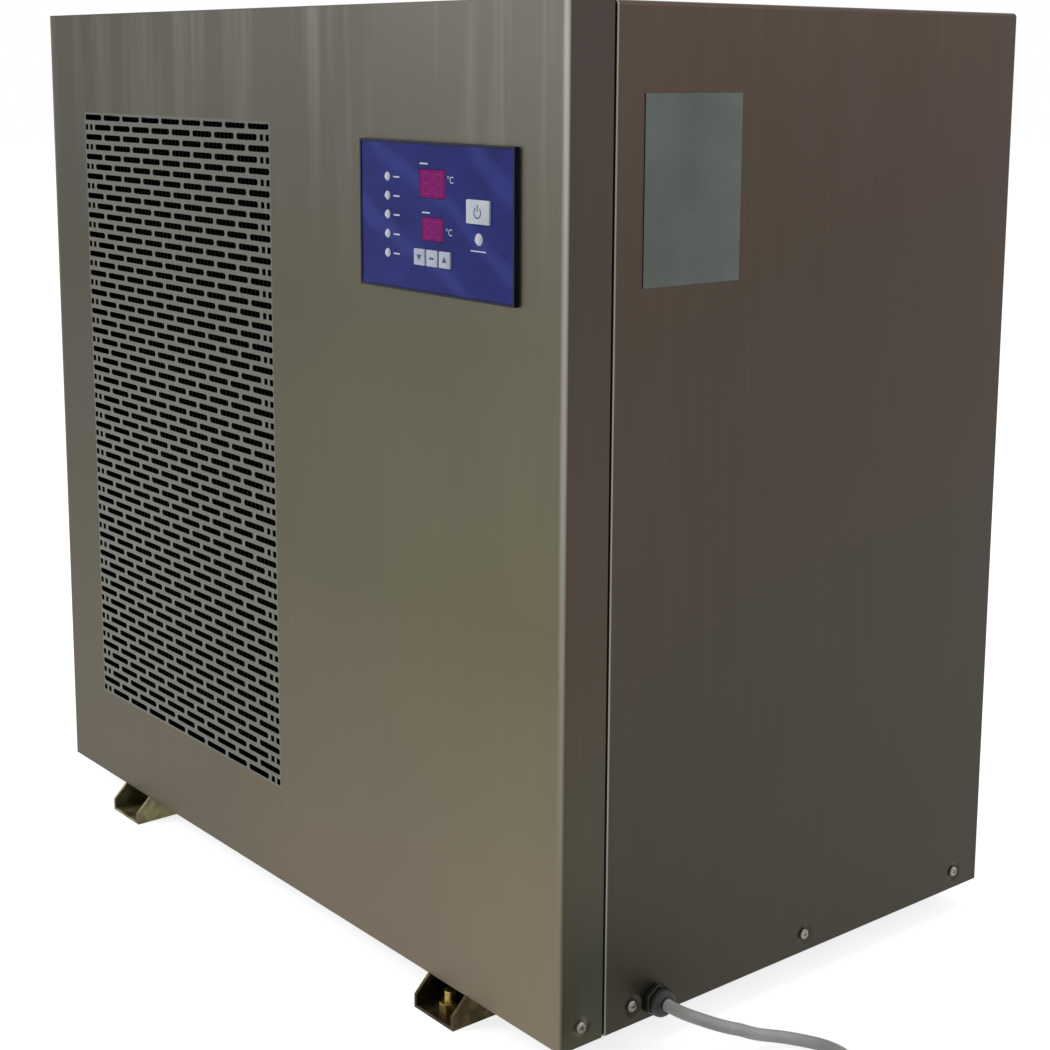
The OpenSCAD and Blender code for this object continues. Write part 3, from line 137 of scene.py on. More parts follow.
def seen_or_mirrored(tree: Tree) -> tuple[Socket, Node]:
    """Adds a mask of the rays that the camera or a mirror sends.

    Args:
        tree: Tree that gets the nodes.

    Returns:
        The mask, and the node that tells the kinds of ray apart.
    """
    path = add(tree, "ShaderNodeLightPath")
    either = {"operation": "MAXIMUM", 0: path.outputs["Is Camera Ray"], 1: path.outputs["Is Glossy Ray"]}
    return add(tree, "ShaderNodeMath", either).outputs[0], path


def empty_material(name: str) -> tuple[Material, Tree]:
    """Makes a material without nodes.

    Args:
        name: Name of the material.

    Returns:
        The material and its node tree.
    """
    material = bpy.data.materials.new(name)
    material.use_nodes = True
    material.node_tree.nodes.clear()
    return material, material.node_tree


class Look:
    """A material in the making: its principled shader and the patterns that feed it."""

    def __init__(self, name: str) -> None:
        """Starts a material.

        Args:
            name: Name of the material.
        """
        self.material, self.tree = empty_material(name)
        self.shader = add(self.tree, "ShaderNodeBsdfPrincipled")
        add(self.tree, "ShaderNodeOutputMaterial", {"Surface": self.shader.outputs[0]})
        self.where = add(self.tree, "ShaderNodeTexCoord").outputs["Object"]

    def noise(self, size_mm: Point, detail: float = 3.0, rough: float = 0.55) -> Socket:
        """Adds noise whose patches are about size_mm across along X, Y and Z.

        Args:
            size_mm: Patch size along each axis, in millimetres.
            detail: Octaves of finer noise.
            rough: Share that each finer octave keeps.

        Returns:
            The noise's value, about 0.5 on average.
        """
        scale = tuple(1.0 / (s * MM) for s in size_mm)
        placed = add(self.tree, "ShaderNodeMapping", {"Scale": scale, "Vector": self.where}).outputs[0]
        settings = {"Scale": 1.0, "Detail": detail, "Roughness": rough, "Vector": placed}
        return add(self.tree, "ShaderNodeTexNoise", settings).outputs["Fac"]

    def tint(self, value: Socket, stops: Stops) -> Socket:
        """Colours a pattern.

        Args:
            value: The pattern's value.
            stops: Places from 0 to 1 and their hex colours.

        Returns:
            The colour.
        """
        node = add(self.tree, "ShaderNodeValToRGB", {"Fac": value})
        band = node.color_ramp
        while len(band.elements) < len(stops):
            band.elements.new(0.5)
        for element, (place, colour) in zip(band.elements, stops):
            element.position = place
            element.color = linear(colour)
        return node.outputs["Color"]

    def lay(self, under: Socket | str, over: Socket | str, *masks: Mask) -> Socket:
        """Lays a colour over another where all masks hold.

        Args:
            under: Hex colour or colour socket below.
            over: Hex colour or colour socket above.
            masks: A value, where it begins to let the upper colour through, where it lets most through, and
                how much that is.

        Returns:
            The colour of both.
        """
        share = None
        for value, begin, full, most in masks:
            ranges = {"From Min": begin, "From Max": full, "To Max": most, "Value": value}
            mask = add(self.tree, "ShaderNodeMapRange", ranges).outputs["Result"]
            if share:
                both = {"operation": "MULTIPLY", 0: share, 1: mask}
                mask = add(self.tree, "ShaderNodeMath", both).outputs[0]
            share = mask
        under, over = (linear(colour) if isinstance(colour, str) else colour for colour in (under, over))
        layers = {"data_type": "RGBA", 0: share, 6: under, 7: over}
        return add(self.tree, "ShaderNodeMix", layers).outputs[2]

    def cloud(self, colour: Socket, *patterns: tuple[Socket, float]) -> Socket:
        """Makes a colour lighter and darker along patterns.

        Args:
            colour: The colour.
            patterns: A noise value, and the share by which it lightens or darkens the colour.

        Returns:
            The clouded colour.
        """
        for value, share in patterns:
            ranges = dict(zip(NOISE_RANGE, (*NOISE_SPREAD, 1.0 - share, 1.0 + share)))
            factor = add(self.tree, "ShaderNodeMapRange", ranges | {"Value": value}).outputs["Result"]
            layers = {"data_type": "RGBA", "blend_type": "MULTIPLY", 0: 1.0, 6: colour, 7: factor}
            colour = add(self.tree, "ShaderNodeMix", layers).outputs[2]
        return colour

    def finish(
        self,
        colour: Socket,
        gloss: tuple[Socket, tuple[float, float]],
        height: Socket,
        depth_mm: float,
        **even: float,
    ) -> Material:
        """Feeds the shader.

        Args:
            colour: Base colour.
            gloss: A noise value, and the lowest and highest roughness that it gives.
            height: Height of the bump.
            depth_mm: Depth of the bump in millimetres.
            even: Even values of further inputs, named with underscores for spaces.

        Returns:
            The finished material.
        """
        for name, value in even.items():
            self.shader.inputs[name.replace("_", " ")].default_value = value
        value, roughness = gloss
        ranges = dict(zip(NOISE_RANGE, (*NOISE_SPREAD, *roughness)))
        rough = add(self.tree, "ShaderNodeMapRange", ranges | {"Value": value}).outputs["Result"]
        depth = {"Strength": 1.0, "Distance": depth_mm * MM, "Height": height}
        normal = add(self.tree, "ShaderNodeBump", depth).outputs["Normal"]
        for name, socket in (("Base Color", colour), ("Roughness", rough), ("Normal", normal)):
            self.tree.links.new(socket, self.shader.inputs[name])
        return self.material


@dataclass(frozen=True)
class RolledStainless:
    """Stainless sheet with a dull vertical grain, stained by handling, with pale vertical streaks high up,
    and with painted light and shade: tones by height, highlights along folds and edges, shade on the returns
    and to the left.

    Places are metres in the part's frame, as pairs of where an effect begins and where it is full.
    """

    name: str
    tones: Stops
    cloud: float
    streak: str
    streak_amount: float
    roughness: tuple[float, float]
    left_cast: str = WHITE
    return_tones: Stops = ()
    # Colour of the painted highlight along the folds
    fold_highlight: str = ""
    # Colour of the painted highlight along the cut edge beside the seam
    seam_edge_highlight: str = ""
    # Colour of the webs between the slots: partly their own, partly a painted highlight
    punched_and_highlight: str = ""
    punched_field: tuple[float, float, float, float] = (-0.2865, 0.0115, 0.0995, 0.6145)
    blotch_mm: Point = (240, 240, 330)
    grain_mm: Point = (1.5, 1.5, 160)
    run_mm: Point = (30, 30, 620)
    run_values: tuple[float, float] = (0.48, 0.68)
    room: tuple[float, float] = (-HALF_WIDTH, 0.3)
    streaks_up: tuple[float, float] = (0.5, 0.69)
    top_edge: tuple[float, float] = (0.6962, 0.6958)
    return_at: tuple[float, float] = (0.3482, 0.3496)
    # Where the painted highlight along the folds rises, falls and climbs, and how strong it is
    fold_rise: tuple[float, float] = (0.3435, 0.3478)
    fold_fall: tuple[float, float] = (0.3498, 0.3490)
    fold_up: tuple[float, float] = (0.1, 0.66)
    fold_highlight_share: float = 0.85
    # Place and strength of the painted highlight at the seam
    seam_at: tuple[float, float] = (-0.1764, -0.1768)
    seam_highlight_share: float = 0.6

    def make(self) -> Material:
        """Makes the material: tones by height, partly painted light, then runs, painted highlights along
        folds and edges, painted shade, blotches and a fine grain.

        Returns:
            The finished material.
        """
        look = Look(self.name)
        across, back, up = add(look.tree, "ShaderNodeSeparateXYZ", {"Vector": look.where}).outputs
        side = add(look.tree, "ShaderNodeMath", {"operation": "ABSOLUTE", 0: across}).outputs[0]
        blotch = look.noise(self.blotch_mm, 2.5, 0.5)
        # Real grain is finer than 0.2 mm; it is drawn 1.5 mm wide so that it shows
        grain = look.noise(self.grain_mm, 2.0)
        runs = (look.noise(self.run_mm, 3.0, 0.6), *self.run_values, 1.0)
        upper, below_top = (up, *self.streaks_up, self.streak_amount), (up, *self.top_edge, 1.0)
        # The tones by height are partly painted light: they carry how bright the lamps and the room make the
        # sheet at each height
        toned = look.lay(look.tint(up, self.tones), self.streak, runs, upper, below_top)
        if self.return_tones:
            # The cover's side returns face the dim side of the room
            toned = look.lay(toned, look.tint(up, self.return_tones), (side, *self.return_at, 1.0))
        if self.fold_highlight:
            # Painted highlight along the folds, strongest high up
            rise, fall = ((side, *reach, 1.0) for reach in (self.fold_rise, self.fold_fall))
            toned = look.lay(toned, self.fold_highlight, rise, fall, (up, *self.fold_up, self.fold_highlight_share))
        if self.seam_edge_highlight:
            # Painted highlight: a thin bright band along the cut edge beside the seam
            toned = look.lay(toned, self.seam_edge_highlight, (back, *self.seam_at, self.seam_highlight_share))
        # The left of the sheet faces the dim end of the room, which a plain white studio lacks
        cast = look.lay(self.left_cast, WHITE, (across, *self.room, 1.0))
        if self.punched_and_highlight:
            # The webs between the slots are painted paler, partly as fresh metal from the punching and partly
            # as a painted highlight of the slot edges; the painted shade on the left is kept off them
            left, right, low, high = self.punched_field
            edges = ((across, left, -MM), (across, right, MM), (up, low, -MM), (up, high, MM))
            inside = [(value, edge + out, edge, 1.0) for value, edge, out in edges]
            toned = look.lay(toned, self.punched_and_highlight, *inside)
            cast = look.lay(cast, WHITE, *inside)
        layers = {"data_type": "RGBA", "blend_type": "MULTIPLY", 0: 1.0, 6: toned, 7: cast}
        lit = add(look.tree, "ShaderNodeMix", layers).outputs[2]
        clouded = look.cloud(lit, (grain, 0.05), (blotch, self.cloud))
        return look.finish(clouded, (blotch, self.roughness), grain, 0.015, Metallic=1.0)


@dataclass(frozen=True)
class PlatedMetal:
    """Bare or plated metal with cloudy patches, such as passivated zinc, galvanised sheet or drawn tube."""

    name: str
    dark: str
    middle: str
    light: str
    patch_mm: float
    roughness: tuple[float, float]
    depth_mm: float = 0.02

    def make(self) -> Material:
        """Makes the material with patches of the given size and a light grain.

        Returns:
            The finished material.
        """
        look = Look(self.name)
        patch = look.noise((self.patch_mm,) * 3, 5.0, 0.6)
        fine = look.noise((self.patch_mm / 9,) * 3, 2.0)
        colour = look.tint(patch, [(0.36, self.dark), (0.5, self.middle), (0.64, self.light)])
        return look.finish(colour, (patch, self.roughness), fine, self.depth_mm, Metallic=1.0)


@dataclass(frozen=True)
class Moulded:
    """Moulded plastic or rubber: one colour with a slight cloud, and an even pitted grain."""

    name: str
    dark: str
    light: str
    grain_mm: float
    roughness: tuple[float, float]
    depth_mm: float = 0.03
    coat: float = 0.0
    specular: float = 0.5

    def make(self) -> Material:
        """Makes the material with a grain of the given size.

        Returns:
            The finished material.
        """
        look = Look(self.name)
        cloud = look.noise((self.grain_mm * 30,) * 3, 3.0)
        grain = look.noise((self.grain_mm,) * 3, 2.0)
        colour = look.tint(cloud, [(0.35, self.dark), (0.65, self.light)])
        even = {"Coat_Weight": self.coat, "Coat_Roughness": 0.12, "Specular_IOR_Level": self.specular}
        return look.finish(colour, (grain, self.roughness), grain, self.depth_mm, **even)


@dataclass(frozen=True)
class PrintedFilm:
    """Polyester panel film printed from behind: deep blue with soft paler waves, under a satin face."""

    name: str
    deep: str
    middle: str
    pale: str
    wave_mm: float = 46.0
    wave_deg: float = 62.0
    ground_mm: Point = (34, 34, 20)
    crest: tuple[float, float, float] = (0.72, 1.0, 0.42)
    grain_mm: Point = (0.4, 0.4, 0.4)
    roughness: tuple[float, float] = (0.34, 0.42)
    specular: float = 0.12

    def make(self) -> Material:
        """Makes the material: bent bands about wave_mm apart over a cloudy ground.

        Returns:
            The finished material.
        """
        look = Look(self.name)
        cloud = look.noise(self.ground_mm, 3.0, 0.6)
        turn = (0.0, math.radians(self.wave_deg), 0.0)
        laid = {"Scale": (1.0 / (self.wave_mm * MM),) * 3, "Rotation": turn, "Vector": look.where}
        placed = add(look.tree, "ShaderNodeMapping", laid).outputs[0]
        bend = {"Scale": 0.32, "Distortion": 5.0, "Detail": 3.0, "Detail Scale": 0.9, "Vector": placed}
        bands = add(look.tree, "ShaderNodeTexWave", bend).outputs["Fac"]
        ground = look.tint(cloud, [(0.32, self.deep), (0.68, self.middle)])
        colour = look.lay(ground, self.pale, (bands, *self.crest))
        fine = look.noise(self.grain_mm, 2.0)
        return look.finish(colour, (fine, self.roughness), fine, 0.006, Specular_IOR_Level=self.specular)


class Finishes:
    """All finishes of the chiller, each made once."""

    def __init__(self) -> None:
        """Makes every material."""
        # Tones by height, partly painted light: the front is painted lighter low down and darker round the
        # middle; the sides are darker towards the bottom
        front_tones = [(0.05, "#716757"), (0.3, "#5c5845"), (0.48, "#5d5a4b"), (0.66, "#68665f")]
        return_tones = [(0.05, "#45453a"), (0.3, "#484038"), (0.66, "#48403c")]
        side_tones = [(0.03, "#3e3c33"), (0.14, "#413e36"), (0.34, "#47403a")]
        side_tones += [(0.55, "#4c423a"), (0.68, "#52453d")]
        inner_tones = [(0.1, "#211f1c"), (0.6, "#25221f")]
        front = (front_tones, 0.09, "#93938c", 0.5, (0.34, 0.42), "#b0ad9f")
        side = (side_tones, 0.07, "#57504a", 0.2, (0.36, 0.44))
        made = [
            # Rolled 304 sheet, bare: dark warm grey mirror with a soft grain, a painted highlight along its
            # folds and painted shade on its side returns
            RolledStainless("front_stainless", *front, return_tones, "#a9a8a2"),
            # The slotted sheet is thinner and newer; its webs are paler, partly as fresh metal from the
            # punching and partly as a painted highlight of the slot edges
            RolledStainless("grille_stainless", *front, punched_and_highlight="#62635c"),
            # The sheet round the sides faces the dim side, so it is painted darker; it is also warmer, with a
            # painted highlight at its cut edge
            RolledStainless("side_stainless", *side, seam_edge_highlight="#9b9a95"),
            # Folded sheet inside, left as rolled: dull, with hardly any runs, and painted very dark as
            # painted shade inside the cabinet
            RolledStainless("inner_stainless", inner_tones, 0.1, "#2b2825", 0.0, (0.5, 0.6)),
            # Yellow-passivated zinc on the foot rails: brown and olive clouds, painted darker as painted
            # shade inside the rails; the left rail gets a paler copy, painted light, as more light falls into
            # it
            PlatedMetal("yellow_zinc", "#2c2619", "#443a27", "#5f5238", 16, (0.4, 0.58), 0.05),
            PlatedMetal("pale_yellow_zinc", "#5c5640", "#7a7354", "#96906c", 16, (0.4, 0.58), 0.05),
            # Clear-passivated zinc on screws and bolts: mid grey with a soft shine
            PlatedMetal("bright_zinc", "#716e66", "#888580", "#a09d94", 5, (0.3, 0.45)),
            # Brass and brassy plated nuts: dull yellow-brown, lightly clouded
            PlatedMetal("brass_plate", "#7d6c3d", "#a08c52", "#bfa968", 6, (0.28, 0.42)),
            # Galvanised sheet: pale grey with faint patches and a dull shine
            PlatedMetal("galvanised_sheet", "#84878a", "#9b9ea0", "#b2b4b5", 14, (0.38, 0.55)),
            # Anodised aluminium foil: an even green-grey satin
            PlatedMetal("satin_foil", "#525754", "#585d5a", "#5e6360", 90, (0.4, 0.48), 0.01),
            # Drawn copper tube: warm red-brown with a soft gloss
            PlatedMetal("drawn_copper", "#7e4a2f", "#a3633f", "#bd7c53", 22, (0.25, 0.42)),
            # Aluminium fins, painted near black and dull as painted shade behind the grille
            PlatedMetal("black_fin", "#0c0d0e", "#131415", "#1b1c1d", 30, (0.5, 0.65)),
            # Drawn titanium tube: warm mid grey satin
            PlatedMetal("drawn_titanium", "#5d5c59", "#73726f", "#878682", 20, (0.3, 0.45)),
            # Nickel-plated pins: pale warm grey, glossy
            PlatedMetal("nickel_pin", "#a6a49c", "#bcbab2", "#cdcbc4", 4, (0.18, 0.3)),
            # Drawn aluminium can: pale, even grey satin
            PlatedMetal("can_aluminium", "#9fa1a3", "#b2b4b6", "#c2c4c6", 40, (0.3, 0.42)),
            # Polyester film: deep blue with paler waves behind a satin face
            PrintedFilm("panel_film", "#1b2370", "#253086", "#434fa6"),
            # Moulded ABS rim: very dark blue satin
            Moulded("panel_frame", "#0c0e22", "#12152c", 0.5, (0.36, 0.46), specular=0.2),
            # Tinted acrylic window: even magenta with a gloss
            Moulded("display_filter", "#850568", "#8f0773", 0.5, (0.2, 0.28), 0.004, specular=0.1),
            # Unlit segments: hardly paler than the window round them
            Moulded("segment_unlit", "#971880", "#a02089", 0.5, (0.3, 0.4), 0.004, specular=0.1),
            # Moulded ABS keys: pale blue-grey satin, the large one a little whiter
            Moulded("key_cap", "#c3c8dc", "#d3d8e8", 0.4, (0.36, 0.46), 0.01),
            Moulded("mode_cap", "#d2d9e6", "#e0e6f0", 0.4, (0.36, 0.46), 0.01),
            # Clear acrylic over a white lamp: nearly white and glossy
            Moulded("lamp_lens", "#dcdfee", "#eceef8", 0.4, (0.14, 0.22), 0.004, 0.5),
            # Screen ink: thin flat marks, pale on the film and blue on the keys
            Moulded("white_ink", "#d8dbec", "#e4e7f4", 0.3, (0.4, 0.5), 0.004),
            Moulded("blue_ink", "#2c3568", "#35407a", 0.3, (0.4, 0.5), 0.004),
            # Solder resist on the board: green satin
            Moulded("board_mask", "#0e4a26", "#12572d", 0.5, (0.3, 0.42), 0.01),
            # Moulded nylon: even black with fine pits
            Moulded("black_nylon", "#121212", "#1b1b1b", 0.5, (0.38, 0.5)),
            # Sprayed enamel: glossy black, slightly uneven
            Moulded("black_enamel", "#0d0d0e", "#151517", 1.2, (0.18, 0.3), 0.02, 0.5),
            # Baked powder coat: black with a fine texture
            Moulded("powder_black", "#161617", "#202021", 0.8, (0.45, 0.6), 0.05),
            # Moulded rubber: dull warm black
            Moulded("black_rubber", "#141414", "#1e1d1c", 0.8, (0.6, 0.75), 0.05),
            # Moulded barrel: off-white satin
            Moulded("white_barrel", "#cfcfca", "#dadad6", 1.0, (0.35, 0.45)),
            # Moulded rigid PVC: dark blue-grey satin
            Moulded("dark_upvc", "#3f4245", "#4b4e51", 0.8, (0.34, 0.46)),
            # Moulded housing of the switch gear: dark grey
            Moulded("device_grey", "#35363a", "#414246", 0.6, (0.4, 0.5)),
            # Moulded terminal block: cream satin
            Moulded("cream_nylon", "#bfb9a5", "#cdc8b5", 0.6, (0.4, 0.5)),
            # Extruded PVC sheath: pale grey, smooth with a slight gloss
            Moulded("lead_sheath", "#cfd0cd", "#dddedb", 0.5, (0.42, 0.55), 0.02),
        ]
        self.by_name = {finish.name: finish.make() for finish in made}

    def __getitem__(self, name: str) -> Material:
        """Returns the finish of that name."""
        return self.by_name[name]


def put(name: str, data: bpy.types.ID) -> Piece:
    """Makes an object and adds it to the scene.

    Args:
        name: Name of the object.
        data: Its mesh, curve, camera or lamp.

    Returns:
        The object.
    """
    piece = bpy.data.objects.new(name, data)
    bpy.context.scene.collection.objects.link(piece)
    return piece


def scaled(pairs: Pairs) -> list[tuple[float, float]]:
    """Turns pairs of millimetres to metres."""
    return [(a * MM, b * MM) for a, b in pairs]


def ring_mesh(
    bm: BMesh,
    profile: Pairs,
    sides: int,
    turn: Matrix,
    wave: Callable[[float], float] | None = None,
    loop: bool = False,
) -> None:
    """Adds a turned shape to a mesh.

    Args:
        bm: Mesh that gets the shape.
        profile: Radius and height pairs; both ends get flat caps where it isn't a loop.
        sides: Number of sides.
        turn: Places the shape, which is turned about Z.
        wave: Factor on the radius for an angle, such as for grip ribs.
        loop: Whether the profile closes on itself, as that of a bored ring.
    """
    rings = []
    for radius, height in profile:
        ring = []
        for k in range(sides):
            angle = math.tau * k / sides
            r = radius * (wave(angle) if wave else 1.0)
            ring.append(bm.verts.new(turn @ Vector((r * math.cos(angle), r * math.sin(angle), height))))
        rings.append(ring)
    for low, high in zip(rings, rings[1:] + rings[:1] if loop else rings[1:]):
        for k in range(sides):
            bm.faces.new((low[k], low[(k + 1) % sides], high[(k + 1) % sides], high[k]))
    if not loop:
        bm.faces.new(list(reversed(rings[0])))
        bm.faces.new(rings[-1])


def block_mesh(bm: BMesh, low: Point, high: Point, bevel: float = 0.0) -> None:
    """Adds a box between two corners.

    Args:
        bm: Mesh that gets the box.
        low: Lowest corner in metres.
        high: Highest corner in metres.
        bevel: Width of the rounding on all edges.
    """
    size = [b - a for a, b in zip(low, high)]
    middle = [(a + b) / 2 for a, b in zip(low, high)]
    place = Matrix.Translation(middle) @ Matrix.Diagonal((*size, 1.0))
    made = bmesh.ops.create_cube(bm, size=1.0, matrix=place)
    if bevel:
        edges = {edge for vert in made["verts"] for edge in vert.link_edges}
        bmesh.ops.bevel(bm, geom=list(edges), offset=bevel, segments=2, affect="EDGES", profile=0.6)


def prism_mesh(bm: BMesh, low: Iterable[Point], high: Iterable[Point]) -> None:
    """Adds a prism.

    Args:
        bm: Mesh that gets the prism.
        low: Outline of one end.
        high: Outline of the other end, with as many points.
    """
    low, high = ([bm.verts.new(point) for point in end] for end in (low, high))
    bm.faces.new(list(reversed(low)))
    bm.faces.new(high)
    for k in range(len(low)):
        after = (k + 1) % len(low)
        bm.faces.new((low[k], low[after], high[after], high[k]))


def soften(bm: BMesh, smooth_deg: float) -> None:
    """Turns the faces outward and makes them smooth between sharp edges.

    Args:
        bm: Mesh to change.
        smooth_deg: Edges sharper than this stay sharp.
    """
    bmesh.ops.recalc_face_normals(bm, faces=bm.faces)
    for face in bm.faces:
        face.smooth = True
    for edge in bm.edges:
        edge.smooth = len(edge.link_faces) == 2 and edge.calc_face_angle(0.0) < math.radians(smooth_deg)


def finish_mesh(bm: BMesh, name: str, material: Material, smooth_deg: float = 35.0) -> Piece:
    """Turns a bmesh to an object at the origin with outward faces.

    Args:
        bm: Mesh in the part's own frame; it is freed.
        name: Name of the piece.
        material: Its finish.
        smooth_deg: Edges sharper than this stay sharp.

    Returns:
        The new object.
    """
    bmesh.ops.remove_doubles(bm, verts=bm.verts, dist=1e-6)
    soften(bm, smooth_deg)
    mesh = bpy.data.meshes.new(name)
    bm.to_mesh(mesh)
    bm.free()
    mesh.materials.append(material)
    return put(name, mesh)


def evaluated_mesh(piece: Piece) -> bpy.types.Mesh:
    """Copies a piece's mesh as its modifiers leave it."""
    bpy.context.view_layer.update()
    return bpy.data.meshes.new_from_object(piece.evaluated_get(bpy.context.evaluated_depsgraph_get()))


def settle(piece: Piece, body: str, slot: str, *replaced: str) -> Piece:
    """Makes a piece ride on a body and hides the CAD nodes that it stands for.

    Args:
        piece: The piece.
        body: Body that it moves with.
        slot: Its slot in the record; not used.
        replaced: CAD nodes that it takes the place of.

    Returns:
        The piece.
    """
    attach(piece, body)
    if replaced:
        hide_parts(*replaced)
    LOG.info("piece %s on %s, %d faces", piece.name, body, len(getattr(piece.data, "polygons", ())))
    return piece


def join(target: Piece, *others: Piece) -> Piece:
    """Adds the meshes of other unplaced objects to a target and removes them.

    Args:
        target: Piece that gets the meshes.
        others: Objects to add.

    Returns:
        The target.
    """
    bm = bmesh.new()
    bm.from_mesh(target.data)
    for other in others:
        bm.from_mesh(other.data)
        bpy.data.objects.remove(other)
    bm.to_mesh(target.data)
    bm.free()
    return target


class NodeTools:
    """Geometry Nodes trees that repeat a shape, and the call that turns their result to a plain mesh."""

    def __init__(self) -> None:
        """Builds the three trees."""
        self.round_axis = self._round_axis()
        self.on_points = self._on_points()
        self.wire_rings = self._wire_rings()

    @staticmethod
    def _open(name: str, *sockets: tuple[str, str]) -> tuple[Tree, bpy.types.NodeOutputs]:
        """Starts a tree with a geometry socket, the named inputs and a material.

        Args:
            name: Name of the tree.
            sockets: Name and type of each further input.

        Returns:
            The tree and the sockets of its inputs.
        """
        tree = bpy.data.node_groups.new(name, "GeometryNodeTree")
        tree.interface.new_socket("Geometry", in_out="INPUT", socket_type="NodeSocketGeometry")
        for label, kind in (*sockets, ("Finish", "Material")):
            tree.interface.new_socket(label, in_out="INPUT", socket_type="NodeSocket" + kind)
        tree.interface.new_socket("Geometry", in_out="OUTPUT", socket_type="NodeSocketGeometry")
        return tree, add(tree, "NodeGroupInput").outputs

    @staticmethod
    def _close(tree: Tree, shape: Node, finish: Socket) -> Tree:
        """Ends a tree with Realize Instances and Set Material.

        Args:
            tree: The tree.
            shape: Node that gives the shape.
            finish: Socket of its material.

        Returns:
            The same tree.
        """
        real = add(tree, "GeometryNodeRealizeInstances", {"Geometry": shape.outputs[0]}).outputs[0]
        dressed = add(tree, "GeometryNodeSetMaterial", {"Geometry": real, "Material": finish}).outputs[0]
        add(tree, "NodeGroupOutput", {"Geometry": dressed})
        return tree

    @staticmethod
    def _line(tree: Tree, count: Socket) -> tuple[Socket, Socket]:
        """Adds as many points in one place, and gives them with their index."""
        line = add(tree, "GeometryNodeMeshLine", {"Offset": (0.0, 0.0, 0.0), "Count": count})
        return line.outputs[0], add(tree, "GeometryNodeInputIndex").outputs[0]

    def _round_axis(self) -> Tree:
        """Makes the tree that repeats the modifier's own mesh round Z.

        Returns:
            The tree.
        """
        tree, given = self._open("repeat_round_axis", ("Count", "Int"))
        line, index = self._line(tree, given["Count"])
        step = add(tree, "ShaderNodeMath", {"operation": "DIVIDE", 0: math.tau, 1: given["Count"]}).outputs[0]
        angle = add(tree, "ShaderNodeMath", {"operation": "MULTIPLY", 0: index, 1: step}).outputs[0]
        turn = add(tree, "ShaderNodeCombineXYZ", {"Z": angle}).outputs[0]
        copies = {"Points": line, "Instance": given["Geometry"], "Rotation": turn}
        return self._close(tree, add(tree, "GeometryNodeInstanceOnPoints", copies), given["Finish"])

    def _on_points(self) -> Tree:
        """Makes the tree that sets a template on the modifier's points, each along its own facing.

        Returns:
            The tree.
        """
        tree, given = self._open("set_on_points", ("Template", "Object"))
        shape = add(tree, "GeometryNodeObjectInfo", {"Object": given["Template"]}).outputs["Geometry"]
        named = {"data_type": "FLOAT_VECTOR", "Name": "facing"}
        facing = add(tree, "GeometryNodeInputNamedAttribute", named).outputs[0]
        turn = add(tree, "FunctionNodeAlignRotationToVector", {"axis": "Z", "Vector": facing}).outputs[0]
        copies = {"Points": given["Geometry"], "Instance": shape, "Rotation": turn}
        return self._close(tree, add(tree, "GeometryNodeInstanceOnPoints", copies), given["Finish"])

    def _wire_rings(self) -> Tree:
        """Makes the tree of evenly spaced round wire rings about Z.

        Returns:
            The tree.
        """
        lengths = [(label, "Float") for label in ("First radius", "Step", "Wire radius")]
        tree, given = self._open("wire_rings", ("Count", "Int"), *lengths)
        line, index = self._line(tree, given["Count"])
        more = add(tree, "ShaderNodeMath", {"operation": "MULTIPLY", 0: index, 1: given["Step"]}).outputs[0]
        wider = {"operation": "ADD", 0: more, 1: given["First radius"]}
        radius = add(tree, "ShaderNodeMath", wider).outputs[0]
        unit = {"Resolution": 72, "Radius": 1.0}
        circle = add(tree, "GeometryNodeCurvePrimitiveCircle", unit).outputs[0]
        copies = {"Points": line, "Instance": circle, "Scale": radius}
        rings = add(tree, "GeometryNodeInstanceOnPoints", copies).outputs[0]
        curves = add(tree, "GeometryNodeRealizeInstances", {"Geometry": rings}).outputs[0]
        round_wire = {"Resolution": 10, "Radius": given["Wire radius"]}
        section = add(tree, "GeometryNodeCurvePrimitiveCircle", round_wire).outputs[0]
        even = add(tree, "GeometryNodeSetCurveRadius", {"Radius": 1.0, "Curve": curves}).outputs[0]
        wires = add(tree, "GeometryNodeCurveToMesh", {"Curve": even, "Profile Curve": section})
        return self._close(tree, wires, given["Finish"])

    @staticmethod
    def bake(
        holder: Piece, tree: Tree, inputs: dict[str, object], place: Matrix, smooth_deg: float = 35.0
    ) -> Piece:
        """Runs a tree on an object and keeps the result as its plain mesh.

        Args:
            holder: Object whose mesh feeds the tree and which gets the result.
            tree: Tree to run.
            inputs: Values by the input's name.
            place: Carries the result to its place in the part's frame.
            smooth_deg: Edges sharper than this stay sharp.

        Returns:
            The same object with the result as its mesh.
        """
        modifier = holder.modifiers.new("repeat", "NODES")
        modifier.node_group = tree
        ids = {item.name: item.identifier for item in tree.interface.items_tree if item.in_out == "INPUT"}
        for label, value in inputs.items():
            modifier[ids[label]] = value
        holder.update_tag()
        mesh = evaluated_mesh(holder)
        holder.modifiers.remove(modifier)
        mesh.transform(place)
        bm = bmesh.new()
        bm.from_mesh(mesh)
        soften(bm, smooth_deg)
        bm.to_mesh(mesh)
        bm.free()
        old = holder.data
        holder.data = mesh
        mesh.name = holder.name
        if not old.users:
            bpy.data.meshes.remove(old)
        return holder


